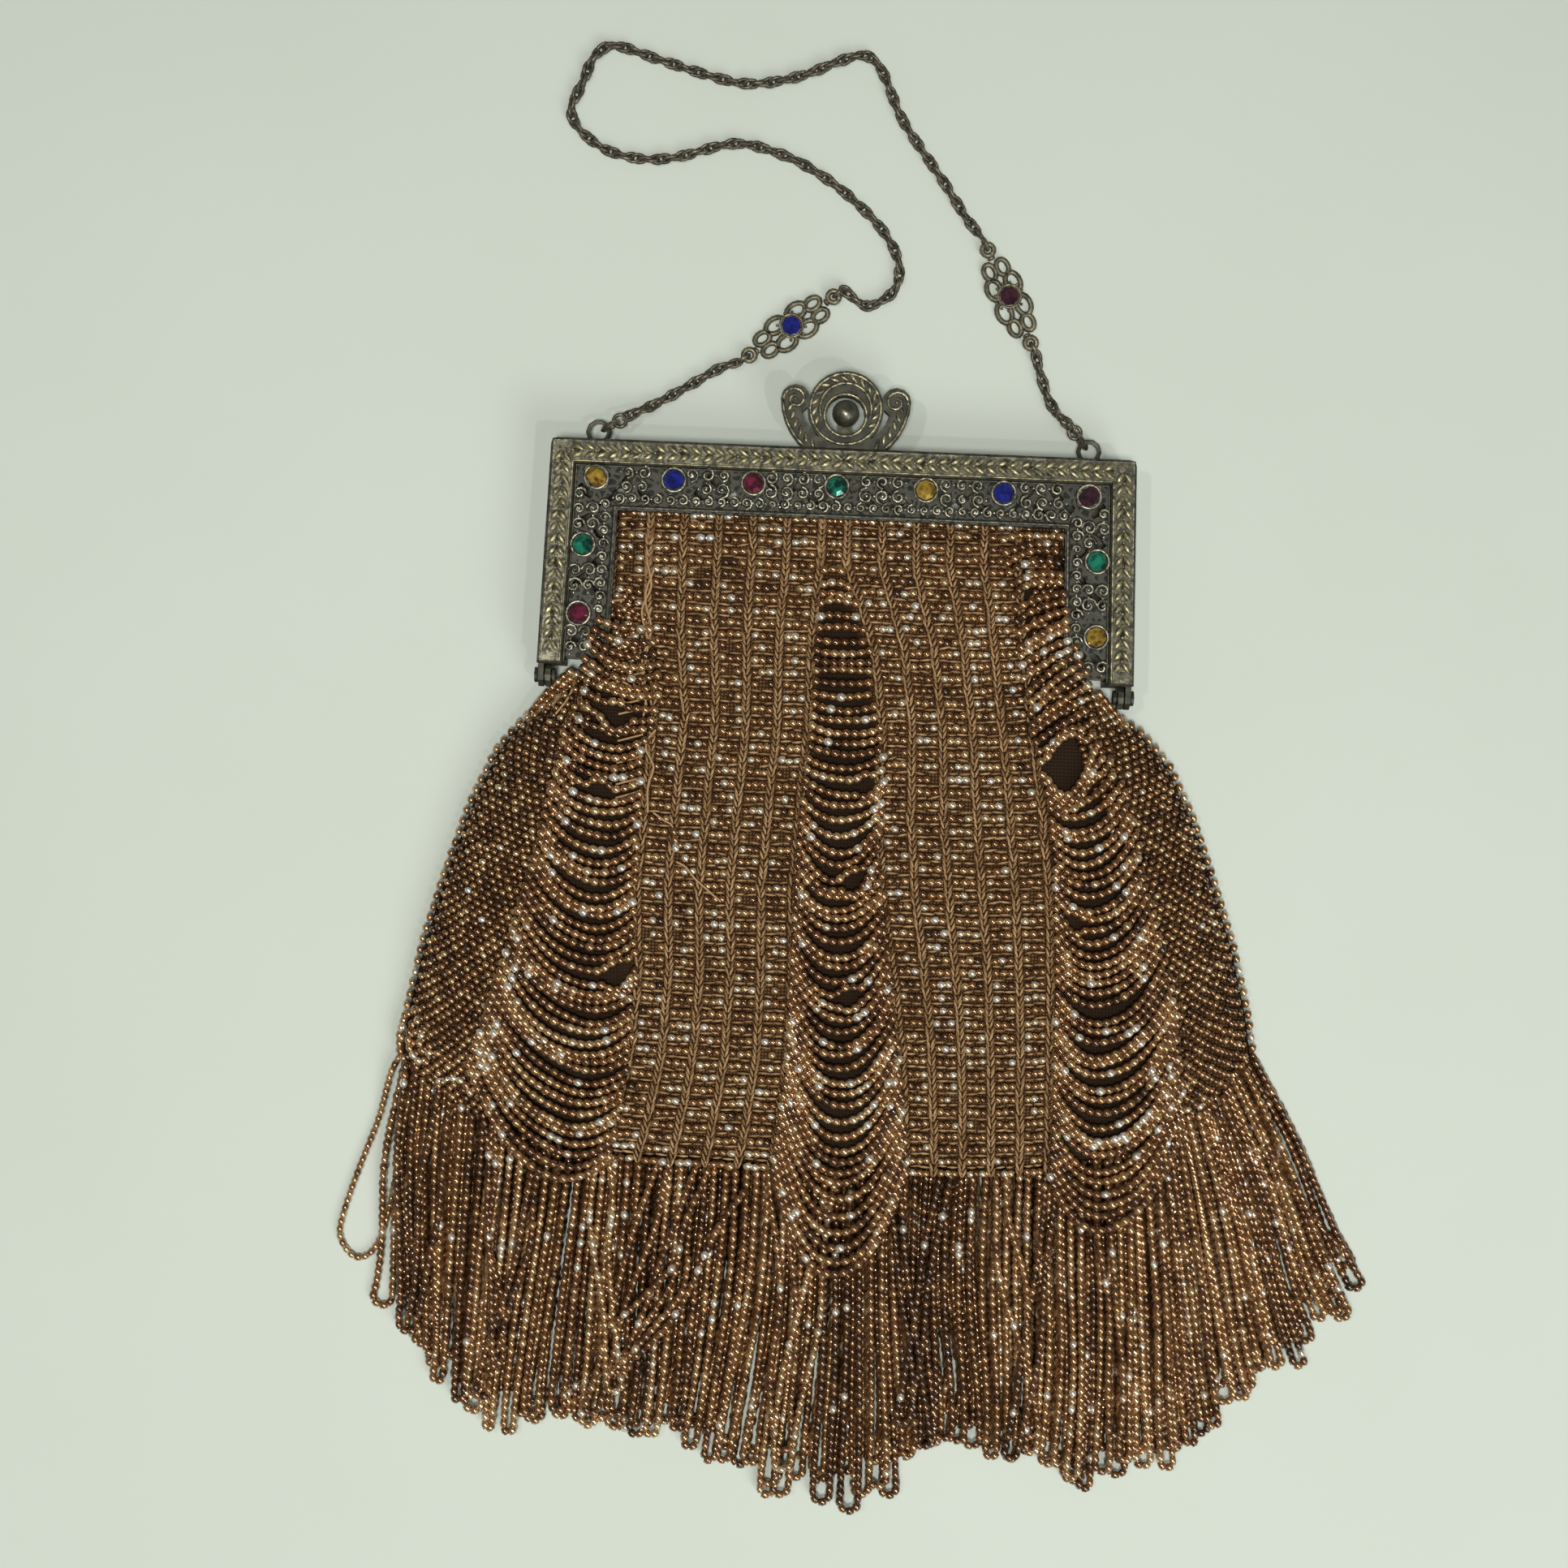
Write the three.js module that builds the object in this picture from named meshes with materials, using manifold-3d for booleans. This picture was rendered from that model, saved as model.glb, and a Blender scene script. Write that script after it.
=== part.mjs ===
// A knitted bead purse of about 1920, lying on its back.
// Millimetres. +X is to the right, +Y runs up the purse to its clasp and handle, +Z is up from the surface.
// The pieces are modelled with x = 0 at the frame's middle and y = 0 at its top edge. The group then
// moves them so that the origin is on the surface, under the middle of the whole outline.
import * as THREE from "three";
import { mergeVertices } from "three/addons/utils/BufferGeometryUtils.js";
import Module from "manifold-3d";

const wasm = await Module();
wasm.setup();

// Clearances
const fit = 0.3; // between pieces that touch on the real purse
const lie = 0.45; // between a soft piece and the faceted surface that it lies on

// Frame: two halves of sheet metal that close on each other
const frameWidth = 127;
const frameDepth = 13;
const armLength = 49;
const armSplay = 1.5; // degrees that each arm leans out
const cornerRadius = 1.6;
const rimWidth = 5.5;
const sheet = 1.2;
const rimChamfer = 0.5;
const bandLap = 1.5; // how far the pierced band runs in under the rim
const bandWidth = 11.3;
const bandEdge = 1;
const bandEdgeHeight = 0.7;
const leafPitch = 5.8;
const leafLength = 5.2;
const leafWidth = 2.2;
const leafHeight = 0.5;

// Pierced scrolls in the band
const gapSpacing = 6.1;
const gapLength = 4.5;
const gapWidth = 1.9;
const backGapSpacing = 12;
const backGapLength = 7;

// Stones in the band
const stoneRadius = 2.3;
const stoneDepth = 1.3;
const bezelWall = 0.5;
const bezelHeight = 1;
const stoneInset = 8.3; // from the frame's outer edge to the middle of a stone

// Hinges at the ends of the arms
const hingeDrop = 2.4; // below the arm's end
const hingeRadius = 2.5;
const pinRadius = 0.9;
const pinHeadRadius = 1.7;
const pinHead = 0.6;
const pinPlay = 0.3;

// Clasp: a pierced thumb plate on the front half, and a ball on the back half that nests in it
const plateThickness = 2.2;
const plateSetBack = 1.7; // below the frame's front face
const ringRadius = 8.3;
const ringRise = 8.8;
const ringHole = 4.2;
const ringHoleRise = 7.4;
const wingRadius = 14.2;
const wingRise = 11;
const slotRadius = 10;
const slotRise = 10.6;
const slotFoot = 2.6;
const lobeRadius = 3.2;
const lobeSpread = 11;
const ballRadius = 2.5;
const ballProud = 0.3; // of the ball's middle over the frame's front face
const postRadius = 0.9;
const tongueWidth = 3.2;
const footWidth = 8;

// Handle
const loopRadius = 2.3;
const loopWire = 0.55;
const loopSpread = 54;
const loopSink = 0.3;
const jumpRadius = 2;
const jumpWire = 0.5;
const eyeRadius = 1.6;
const eyeWire = 0.5;
const chainRadius = 1.1;
const chainStep = 6.5;
const medallionLength = 18.5;
const medallionWidth = 8.4;
const medallionThickness = 1.1;
const medallionWire = 0.8;
const medallionEye = 1.3;
const medallionEyeWire = 0.4;
const medallionEyeHeight = 1.65;

// Knitted bag
const bagLength = 145.5; // from its hidden top edge to its hem, down the middle
const bagHalfWidth = 93.7;
const bagLoft = 14;
const bagWall = 1.2;
const bagTuck = 3.3; // how far the bag runs in under the band
const bagLean = 1.7; // how far the hem's middle lies to the right
const hemRiseLeft = 21;
const hemRiseRight = 28;
const riseCurve = 4.5; // how suddenly the knitted rows turn up towards the sides

// Bead swags and fringe
const swagThickness = 1.5;
const swagRidge = 0.55;
const swagDrop = 21;
const swagLead = 1.5; // how far ahead a swag rises over what it lies on
const fringeLength = 60;
const fringeDepth = 6.4;
const lockCount = 30;
const lockNotch = 0.1; // share of a lock's length by which the grooves between tips are shorter
const lockGroove = 0.26; // share of the fringe's depth
const strayRadius = 0.85;

// The rows of the bag inside the frame. down: share of the frame's opening, plump: share of full loft.
const frameRows = [
  { down: 0.01, plump: 0 },
  { down: 0.14, plump: 0.62 },
  { down: 0.42, plump: 0.85 },
  { down: 0.72, plump: 0.92 },
];

// The rows below the arms. down: share of the way from the arms' ends to the hem, flare: share of the
// way from the frame's opening to the full half width, rise: share of the hem's rise, loft: share of
// the bag's loft, edge: share of the loft at which front and back meet.
const skirtRows = [
  { down: 0.01, flare: 0.03, rise: 0.17, loft: 0.93, edge: 0.42 },
  { down: 0.065, flare: 0.126, rise: 0.2, loft: 0.94, edge: 0.36 },
  { down: 0.11, flare: 0.245, rise: 0.21, loft: 0.95, edge: 0.31 },
  { down: 0.166, flare: 0.395, rise: 0.29, loft: 0.97, edge: 0.28 },
  { down: 0.249, flare: 0.54, rise: 0.36, loft: 1, edge: 0.25 },
  { down: 0.378, flare: 0.67, rise: 0.45, loft: 1, edge: 0.23 },
  { down: 0.544, flare: 0.79, rise: 0.57, loft: 0.98, edge: 0.22 },
  { down: 0.71, flare: 0.89, rise: 0.72, loft: 0.9, edge: 0.22 },
  { down: 0.876, flare: 0.965, rise: 0.87, loft: 0.7, edge: 0.22 },
  { down: 1, flare: 1, rise: 1, loft: 0.46, edge: 0.22 },
];

// Columns across the bag's outer and inner skins, as shares of its half width.
const bagColumns = [-1, -0.97, -0.89, -0.74, -0.52, -0.27, 0, 0.27, 0.52, 0.74, 0.89, 0.97, 1];
const innerColumns = [-1, -0.96, -0.85, -0.6, -0.25, 0.25, 0.6, 0.85, 0.96, 1];

// Each swag column of beads. down: share of the bag's length, left and right: shares of the bag's half
// width there, sag: share of the longest swag's drop.
const swagColumns = {
  swags_left: [
    { down: 0.2, left: -0.9, right: -0.82, sag: 0.02 },
    { down: 0.26, left: -0.88, right: -0.74, sag: 0.06 },
    { down: 0.33, left: -0.9, right: -0.64, sag: 0.1 },
    { down: 0.43, left: -0.83, right: -0.56, sag: 0.2 },
    { down: 0.55, left: -0.8, right: -0.52, sag: 0.28 },
    { down: 0.75, left: -0.81, right: -0.47, sag: 0.4 },
    { down: 0.9, left: -0.83, right: -0.47, sag: 0.42 },
    { down: 1, left: -0.85, right: -0.5, sag: 0.45 },
  ],
  swags_centre: [
    { down: 0.1, left: -0.08, right: 0.02, sag: -0.02 },
    { down: 0.23, left: -0.1, right: 0.16, sag: 0 },
    { down: 0.35, left: -0.09, right: 0.17, sag: 0.12 },
    { down: 0.5, left: -0.095, right: 0.135, sag: 0.34 },
    { down: 0.65, left: -0.095, right: 0.15, sag: 0.45 },
    { down: 0.85, left: -0.095, right: 0.185, sag: 0.7 },
    { down: 1, left: -0.12, right: 0.2, sag: 1 },
  ],
  swags_right: [
    { down: 0.08, left: 0.77, right: 0.9, sag: 0 },
    { down: 0.2, left: 0.79, right: 0.91, sag: 0.08 },
    { down: 0.26, left: 0.78, right: 0.89, sag: 0.12 },
    { down: 0.33, left: 0.74, right: 0.9, sag: 0.16 },
    { down: 0.42, left: 0.64, right: 0.86, sag: 0.22 },
    { down: 0.6, left: 0.59, right: 0.84, sag: 0.4 },
    { down: 0.8, left: 0.55, right: 0.85, sag: 0.5 },
    { down: 1, left: 0.53, right: 0.84, sag: 0.66 },
  ],
};
const swagRows = 16;
const swagAcross = [-1, -0.55, 0, 0.55, 1];

// The fringe. along: share of the hem's half width, length: share of the fringe's length,
// splay: degrees to the right that the strands point.
const fringeSpread = [
  { along: -1, length: 0.9, splay: 2 },
  { along: -0.9, length: 1.02, splay: 0 },
  { along: -0.75, length: 1.06, splay: 0 },
  { along: -0.5, length: 1.01, splay: 0 },
  { along: -0.25, length: 1.01, splay: 0 },
  { along: -0.13, length: 1.13, splay: 0 },
  { along: 0.02, length: 1.2, splay: 1 },
  { along: 0.15, length: 1.15, splay: 1 },
  { along: 0.27, length: 1.03, splay: 1 },
  { along: 0.45, length: 1.03, splay: 1 },
  { along: 0.62, length: 1.15, splay: 2 },
  { along: 0.76, length: 1.12, splay: 5 },
  { along: 0.86, length: 1, splay: 14 },
  { along: 0.93, length: 0.95, splay: 22 },
  { along: 1, length: 0.9, splay: 31 },
];
// down: share of a lock's length, depth: share of the fringe's depth.
const fringeProfile = [
  { down: 0, depth: 1 },
  { down: 0.2, depth: 0.97 },
  { down: 0.5, depth: 0.86 },
  { down: 0.85, depth: 0.63 },
  { down: 1, depth: 0.34 },
];

// Routes that keep the points chosen for them, each over the surface the purse lies on. The chains'
// ends follow from what they hang on.
const routes = {
  chain_left: [[-41.5, 10.1, 1.7], [-34.3, 14.5], [-28.4, 18.2]],
  chain_middle: [
    [3.4, 33.6], [7.2, 34.8], [10.3, 38], [10.6, 43.5], [7.3, 49.7], [1.4, 55.7],
    [-6.9, 61.8], [-16, 66.2], [-26.7, 68.3], [-39.1, 64.9], [-47, 64.1], [-54.8, 65.6], [-61.3, 70],
    [-63.3, 74.6], [-61, 80.6], [-58.6, 86.4], [-54.3, 88.9], [-44.5, 86.3], [-33.6, 83.3], [-24, 81.7],
    [-13.1, 83.8], [-3.6, 87.8], [1.6, 88.9], [5.3, 85.6], [10.4, 74.8], [19.8, 61.8], [25, 54.2],
  ],
  chain_right: [[43.2, 19.5], [45.9, 12.8, 1.7]],
  stray_loop: [
    [-94.6, -140.6], [-97, -151], [-100.8, -162], [-104, -172.5], [-104.4, -177.6], [-101.6, -181.6],
    [-98.2, -181.4], [-95.6, -177.5], [-93.9, -171], [-92.8, -164],
  ],
};

// What the sizes above give
const half = frameWidth / 2;
const splay = Math.tan(THREE.MathUtils.degToRad(armSplay));
const halfDepth = (frameDepth - fit) / 2;
const bandOuter = rimWidth - bandLap;
const bandInner = bandOuter + bandWidth;
const bandFace = frameDepth - sheet - fit; // the front band's front face
const bandBack = bandFace - sheet;
const middle = frameDepth / 2;
const cavityFront = bandBack - fit;
const cavityBack = frameDepth - cavityFront;
const openingHeight = armLength - bandInner;
const bagTop = bandInner - bagTuck;
const hemY = -(bagTop + bagLength);
const skirtLength = -hemY - armLength;
const hingeY = -(armLength + hingeDrop);

const materials = {
  tarnished_brass: new THREE.MeshStandardMaterial({ color: 0x5b5640, roughness: 0.5, metalness: 0.9 }),
  bead_knit: new THREE.MeshStandardMaterial({ color: 0x7a5232, roughness: 0.45, metalness: 0.25 }),
  bead_strands: new THREE.MeshStandardMaterial({ color: 0x8a5a2c, roughness: 0.3, metalness: 0.35 }),
  amber: new THREE.MeshStandardMaterial({ color: 0xc98a1c, roughness: 0.1 }),
  blue: new THREE.MeshStandardMaterial({ color: 0x1f2fb4, roughness: 0.1 }),
  ruby: new THREE.MeshStandardMaterial({ color: 0xa81f44, roughness: 0.1 }),
  green: new THREE.MeshStandardMaterial({ color: 0x12805a, roughness: 0.1 }),
  violet: new THREE.MeshStandardMaterial({ color: 0x5c2338, roughness: 0.1 }),
};

// Solids, and the way back to a geometry
function solid(geometry) {
  const bare = geometry.index ? geometry.toNonIndexed() : geometry.clone();
  for (const name of Object.keys(bare.attributes)) if (name !== "position") bare.deleteAttribute(name);
  const merged = mergeVertices(bare, 1e-4);
  return new wasm.Manifold(
    new wasm.Mesh({
      numProp: 3,
      vertProperties: new Float32Array(merged.attributes.position.array),
      triVerts: new Uint32Array(merged.index.array),
    }),
  );
}

function geometryOf(manifold) {
  const mesh = manifold.getMesh();
  const geometry = new THREE.BufferGeometry();
  geometry.setAttribute("position", new THREE.BufferAttribute(new Float32Array(mesh.vertProperties), 3));
  geometry.setIndex(new THREE.BufferAttribute(new Uint32Array(mesh.triVerts), 1));
  geometry.computeVertexNormals();
  return geometry;
}

function join(solids) {
  return solids.reduce((whole, next) => whole.add(next));
}

function mix(a, b, share) {
  return a + (b - a) * share;
}

// The values of a table's columns at a place between its rows.
function readTable(table, key, at) {
  let i = 1;
  while (i < table.length - 1 && table[i][key] < at) i += 1;
  const low = table[i - 1];
  const high = table[i];
  const share = THREE.MathUtils.clamp((at - low[key]) / (high[key] - low[key]), 0, 1);
  return Object.fromEntries(Object.keys(low).map((name) => [name, mix(low[name], high[name], share)]));
}

// A closed skin over a list of sections, each the same number of [x, y, z] points in one direction.
function loft(sections) {
  const count = sections[0].length;
  const points = sections.flat(2);
  const faces = [];
  for (let i = 0; i < sections.length - 1; i += 1) {
    for (let j = 0; j < count; j += 1) {
      const a = i * count + j;
      const b = i * count + ((j + 1) % count);
      faces.push(a, b, b + count, a, b + count, a + count);
    }
  }
  const last = (sections.length - 1) * count;
  // Each end is a strip between its two sides, because the sections are long and thin.
  for (let low = 0, high = count - 1; low + 1 < high; low += 1, high -= 1) {
    faces.push(low, high, low + 1);
    faces.push(last + low, last + low + 1, last + high);
    if (low + 1 < high - 1) {
      faces.push(low + 1, high, high - 1);
      faces.push(last + low + 1, last + high - 1, last + high);
    }
  }
  const geometry = new THREE.BufferGeometry();
  geometry.setAttribute("position", new THREE.Float32BufferAttribute(points, 3));
  geometry.setIndex(faces);
  return geometry;
}

function disc(x, y, radius, low, high, sides) {
  const geometry = new THREE.CylinderGeometry(radius, radius, high - low, sides);
  return solid(geometry.rotateX(Math.PI / 2).translate(x, y, (low + high) / 2));
}

function block(left, right, bottom, top, low, high) {
  const geometry = new THREE.BoxGeometry(right - left, top - bottom, high - low);
  return solid(geometry.translate((left + right) / 2, (bottom + top) / 2, (low + high) / 2));
}

function ringOfWire(radius, wire) {
  return new THREE.TorusGeometry(radius, wire, 5, 10);
}

// Frame
function armX(y, inset) {
  return half - splay * y - inset;
}

// The band of the frame between two insets from its outer edge, as a U that ends at y = end.
function frameShape(outer, inner, end, radius) {
  const shape = new THREE.Shape();
  const top = armX(-outer, outer);
  shape.moveTo(-armX(end, outer), end);
  shape.lineTo(-armX(-outer - radius, outer), -outer - radius);
  if (radius > 0) shape.quadraticCurveTo(-top, -outer, -top + radius, -outer);
  shape.lineTo(top - radius, -outer);
  if (radius > 0) shape.quadraticCurveTo(top, -outer, armX(-outer - radius, outer), -outer - radius);
  shape.lineTo(armX(end, outer), end);
  shape.lineTo(armX(end, inner), end);
  shape.lineTo(armX(-inner, inner), -inner);
  shape.lineTo(-armX(-inner, inner), -inner);
  shape.lineTo(-armX(end, inner), end);
  return shape;
}

function frameLayer(outer, inner, end, low, high, radius = 0) {
  const options = { depth: high - low, bevelEnabled: false, curveSegments: 3 };
  return solid(new THREE.ExtrudeGeometry(frameShape(outer, inner, end, radius), options).translate(0, 0, low));
}

// One half's rim: a face and an outer wall of sheet metal, closed at the arms' ends.
function rim() {
  const low = frameDepth - halfDepth;
  const options = {
    depth: halfDepth - 2 * rimChamfer,
    bevelThickness: rimChamfer,
    bevelSize: rimChamfer,
    bevelOffset: -rimChamfer,
    bevelSegments: 1,
    curveSegments: 3,
  };
  const shape = frameShape(0, rimWidth, -armLength, cornerRadius);
  const whole = solid(new THREE.ExtrudeGeometry(shape, options).translate(0, 0, low + rimChamfer));
  const inside = frameLayer(sheet, bandInner, -armLength + sheet, low - fit, frameDepth - sheet);
  return whole.subtract(inside);
}

// Places along the middle of the U at an inset, each with the direction that the U runs in.
function alongFrame(inset, spacing, trim) {
  const end = -armLength + trim;
  const corners = [
    new THREE.Vector2(-armX(end, inset), end),
    new THREE.Vector2(-armX(-inset, inset), -inset),
    new THREE.Vector2(armX(-inset, inset), -inset),
    new THREE.Vector2(armX(end, inset), end),
  ];
  const places = [];
  for (let i = 0; i < 3; i += 1) {
    const run = corners[i + 1].clone().sub(corners[i]);
    const count = Math.max(2, Math.round(run.length() / spacing));
    for (let k = 0; k < count; k += 1) {
      const spot = corners[i].clone().addScaledVector(run, (k + 0.5) / count);
      places.push({ x: spot.x, y: spot.y, angle: run.angle(), side: k % 2 ? 1 : -1 });
    }
  }
  return places;
}

// A row of raised leaves round the rim's face, tips crossing over its middle line.
function rimLeaves() {
  return alongFrame(rimWidth / 2, leafPitch, rimWidth / 2).map(({ x, y, angle, side }) => {
    const leaf = new THREE.ConeGeometry(1, leafHeight * 2, 4).rotateX(Math.PI / 2);
    leaf.scale(leafLength / 2, leafWidth / 2, 1).rotateZ(angle + side * 0.3);
    return solid(leaf.translate(x, y, frameDepth));
  });
}

function hingeEar(side, outer, towardsFront) {
  const x = side * (armX(-armLength, sheet / 2) - (outer ? 0 : sheet + fit));
  const ear = new THREE.CylinderGeometry(hingeRadius, hingeRadius, sheet, 12).rotateZ(Math.PI / 2);
  const round = solid(ear.translate(x, hingeY, middle));
  const low = towardsFront ? middle + fit / 2 : middle - fit / 2 - hingeRadius;
  const neck = block(x - sheet / 2, x + sheet / 2, hingeY, -armLength + sheet, low, low + hingeRadius);
  const bore = new THREE.CylinderGeometry(pinRadius + pinPlay, pinRadius + pinPlay, sheet * 3, 10);
  return round.add(neck).subtract(solid(bore.rotateZ(Math.PI / 2).translate(x, hingeY, middle)));
}

function thumbPlate() {
  const high = frameDepth - plateSetBack;
  const low = high - plateThickness;
  const wings = disc(0, wingRise, wingRadius, low, high, 32)
    .subtract(block(-2 * wingRadius, 2 * wingRadius, slotRise, 3 * wingRadius, low - 1, high + 1))
    .subtract(
      disc(0, slotRise, slotRadius, low - 1, high + 1, 24).subtract(
        block(-slotRadius, slotRadius, slotRise - 2 * slotRadius, slotFoot, low - 2, high + 2),
      ),
    );
  const lobes = [-1, 1].map((side) => disc(side * lobeSpread, slotRise, lobeRadius, low, high, 12));
  const ring = disc(0, ringRise, ringRadius, low, high, 24);
  const whole = join([wings, ...lobes, ring]);
  return whole
    .subtract(disc(0, ringHoleRise, ringHole, low - 1, high + 1, 16))
    .subtract(block(-2 * wingRadius, 2 * wingRadius, -2 * wingRadius, -sheet / 2, low - 1, high + 1));
}

function frontFrame() {
  const ears = [-1, 1].map((side) => hingeEar(side, true, true));
  return join([rim(), thumbPlate(), ...ears, ...rimLeaves()]);
}

function handleLoop(side) {
  const y = loopRadius + loopWire - loopSink;
  return solid(ringOfWire(loopRadius, loopWire).translate(side * loopSpread, y, middle - loopWire * 3));
}

function backFrame() {
  const turned = rim().mirror([0, 0, 1]).translate([0, 0, frameDepth]);
  const ears = [-1, 1].map((side) => hingeEar(side, false, false));
  return join([turned, ...ears, handleLoop(-1), handleLoop(1)]);
}

function hingePin(side) {
  const inner = armX(-armLength, 0) - 2 * sheet - fit;
  const outer = armX(-armLength, 0);
  const reach = outer - inner + 2 * fit;
  const centre = side * ((inner + outer) / 2);
  const shaft = new THREE.CylinderGeometry(pinRadius, pinRadius, reach, 8).rotateZ(Math.PI / 2);
  const heads = [-1, 1].map((end) => {
    const head = new THREE.CylinderGeometry(pinHeadRadius, pinHeadRadius, pinHead, 10).rotateZ(Math.PI / 2);
    return solid(head.translate(centre + (end * (reach + pinHead)) / 2, hingeY, middle));
  });
  return join([solid(shaft.translate(centre, hingeY, middle)), ...heads]);
}

// The stones round the front band: which, and how far along its bar or arm from the middle of the bar
// or from the frame's top edge, as shares of the half width or of the arm.
const stonePlaces = [
  { name: "stone_amber_corner", look: "amber", bar: -0.842, oval: -45 },
  { name: "stone_blue_left", look: "blue", bar: -0.577 },
  { name: "stone_ruby_bar", look: "ruby", bar: -0.305 },
  { name: "stone_green_bar", look: "green", bar: -0.02 },
  { name: "stone_amber_bar", look: "amber", bar: 0.284 },
  { name: "stone_blue_right", look: "blue", bar: 0.55 },
  { name: "stone_violet_corner", look: "violet", bar: 0.842, oval: 45 },
  { name: "stone_green_left", look: "green", arm: 0.47, side: -1 },
  { name: "stone_ruby_left", look: "ruby", arm: 0.775, side: -1 },
  { name: "stone_green_right", look: "green", arm: 0.455, side: 1 },
  { name: "stone_amber_right", look: "amber", arm: 0.79, side: 1 },
];

function stoneSpot(place) {
  if (place.bar !== undefined) return { x: place.bar * half, y: -stoneInset };
  const y = -place.arm * armLength;
  return { x: place.side * armX(y, stoneInset), y };
}

function clearOfStones(x, y, reach) {
  return stonePlaces.every((place) => {
    const spot = stoneSpot(place);
    return Math.hypot(spot.x - x, spot.y - y) > stoneRadius + bezelWall + reach;
  });
}

// The gaps of the pierced band: teardrops in two rows that lean towards each other like scrolls.
function bandGaps(spacing, length, width, sparse) {
  const rows = sparse ? [0.5] : [0.29, 0.71];
  const inner = bandWidth - bandLap - bandEdge;
  const gaps = [];
  rows.forEach((share, row) => {
    const inset = rimWidth + share * inner;
    for (const { x, y, angle, side } of alongFrame(inset, spacing, gapWidth + fit)) {
      const turn = sparse ? side * 0.5 : (row ? -1 : 1) * side * 0.75;
      if (!sparse && !clearOfStones(x, y, gapWidth / 2)) continue;
      const gap = new THREE.CylinderGeometry(1, 1, sheet * 4, 6).rotateX(Math.PI / 2);
      gap.scale(length / 2, width / 2, 1).rotateZ(angle + turn);
      gaps.push(solid(gap.translate(x, y, bandFace)));
    }
  });
  return gaps;
}

function band(gaps) {
  const end = -armLength + sheet + fit;
  const plate = frameLayer(bandOuter, bandInner, end, bandBack, bandFace);
  const edge = frameLayer(bandInner - bandEdge, bandInner, end, bandFace - sheet / 2, bandFace + bandEdgeHeight);
  return plate.add(edge).subtract(join(gaps));
}

function bezel(place) {
  const { x, y } = stoneSpot(place);
  const low = bandFace - sheet;
  const cup = disc(0, 0, stoneRadius + bezelWall, low, bandFace + bezelHeight, 8);
  const hollow = disc(0, 0, stoneRadius + fit / 2, bandFace + fit / 2, bandFace + bezelHeight + 1, 8);
  return shapeStone(cup.subtract(hollow), place).translate([x, y, 0]);
}

// A corner stone is a pointed oval that lies across its corner.
function shapeStone(whole, place) {
  if (place.oval === undefined) return whole;
  return whole.scale([1.18, 0.84, 1]).rotate([0, 0, place.oval]);
}

function frontBand() {
  const gaps = bandGaps(gapSpacing, gapLength, gapWidth, false);
  return join([band(gaps), ...stonePlaces.map(bezel)]);
}

function backBand() {
  const gaps = bandGaps(backGapSpacing, backGapLength, gapWidth * 1.5, true);
  return band(gaps).mirror([0, 0, 1]).translate([0, 0, frameDepth]);
}

// A round cut stone: a table, eight crown facets and a point under it.
function cutStone(radius, depth) {
  const crown = depth * 0.45;
  const profile = [
    new THREE.Vector2(0, crown - depth),
    new THREE.Vector2(radius, 0),
    new THREE.Vector2(radius * 0.58, crown),
    new THREE.Vector2(0, crown),
  ];
  return solid(new THREE.LatheGeometry(profile, 8).rotateX(Math.PI / 2));
}

function bandStone(place) {
  const { x, y } = stoneSpot(place);
  const seat = bandFace + fit / 2 + fit + stoneDepth * 0.55;
  return shapeStone(cutStone(stoneRadius - fit / 2, stoneDepth), place).translate([x, y, seat]);
}

// The ball on its post, carried by a tongue that is riveted behind the thumb plate.
function claspBall() {
  const plateLow = frameDepth - plateSetBack - plateThickness;
  const high = halfDepth;
  const low = high - sheet;
  const foot = block(-footWidth / 2, footWidth / 2, fit, fit + sheet, sheet, high);
  const tongue = block(-tongueWidth / 2, tongueWidth / 2, fit, ringHoleRise + postRadius, low, high);
  const post = disc(0, ringHoleRise, postRadius, low, frameDepth, 10);
  const collar = disc(0, ringHoleRise, postRadius * 2, low, Math.min(high + sheet, plateLow - fit), 10);
  const ball = new THREE.SphereGeometry(ballRadius, 11, 7).rotateX(Math.PI / 2);
  return join([foot, tongue, post, collar, solid(ball.translate(0, ringHoleRise, frameDepth + ballProud))]);
}

// Handle
function ringSolid(radius, wire, spot, angle, upright) {
  const ring = ringOfWire(radius, wire);
  if (upright) ring.rotateX(Math.PI / 2);
  return solid(ring.rotateZ(angle).translate(spot.x, spot.y, spot.z));
}

// The upright ring in a loop of the frame, and where the chain's flat eye hangs in it.
function hanger(side) {
  const [x, y] = side < 0 ? routes.chain_left[0] : routes.chain_right.at(-1);
  const loop = { x: side * loopSpread, y: loopRadius + loopWire - loopSink, z: middle - loopWire * 3 };
  const angle = Math.atan2(y - loop.y, x - loop.x);
  const along = (reach) => ({ x: loop.x + Math.cos(angle) * reach, y: loop.y + Math.sin(angle) * reach, z: loop.z });
  const ring = loopRadius - loopWire - fit - jumpWire + jumpRadius;
  const eye = ring + jumpRadius - jumpWire - fit - eyeWire + eyeRadius;
  return { angle, ring: along(ring), eye: along(eye), start: along(eye + eyeRadius) };
}

function jumpRing(side) {
  const { ring, angle } = hanger(side);
  return ringSolid(jumpRadius, jumpWire, ring, angle, true);
}

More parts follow.
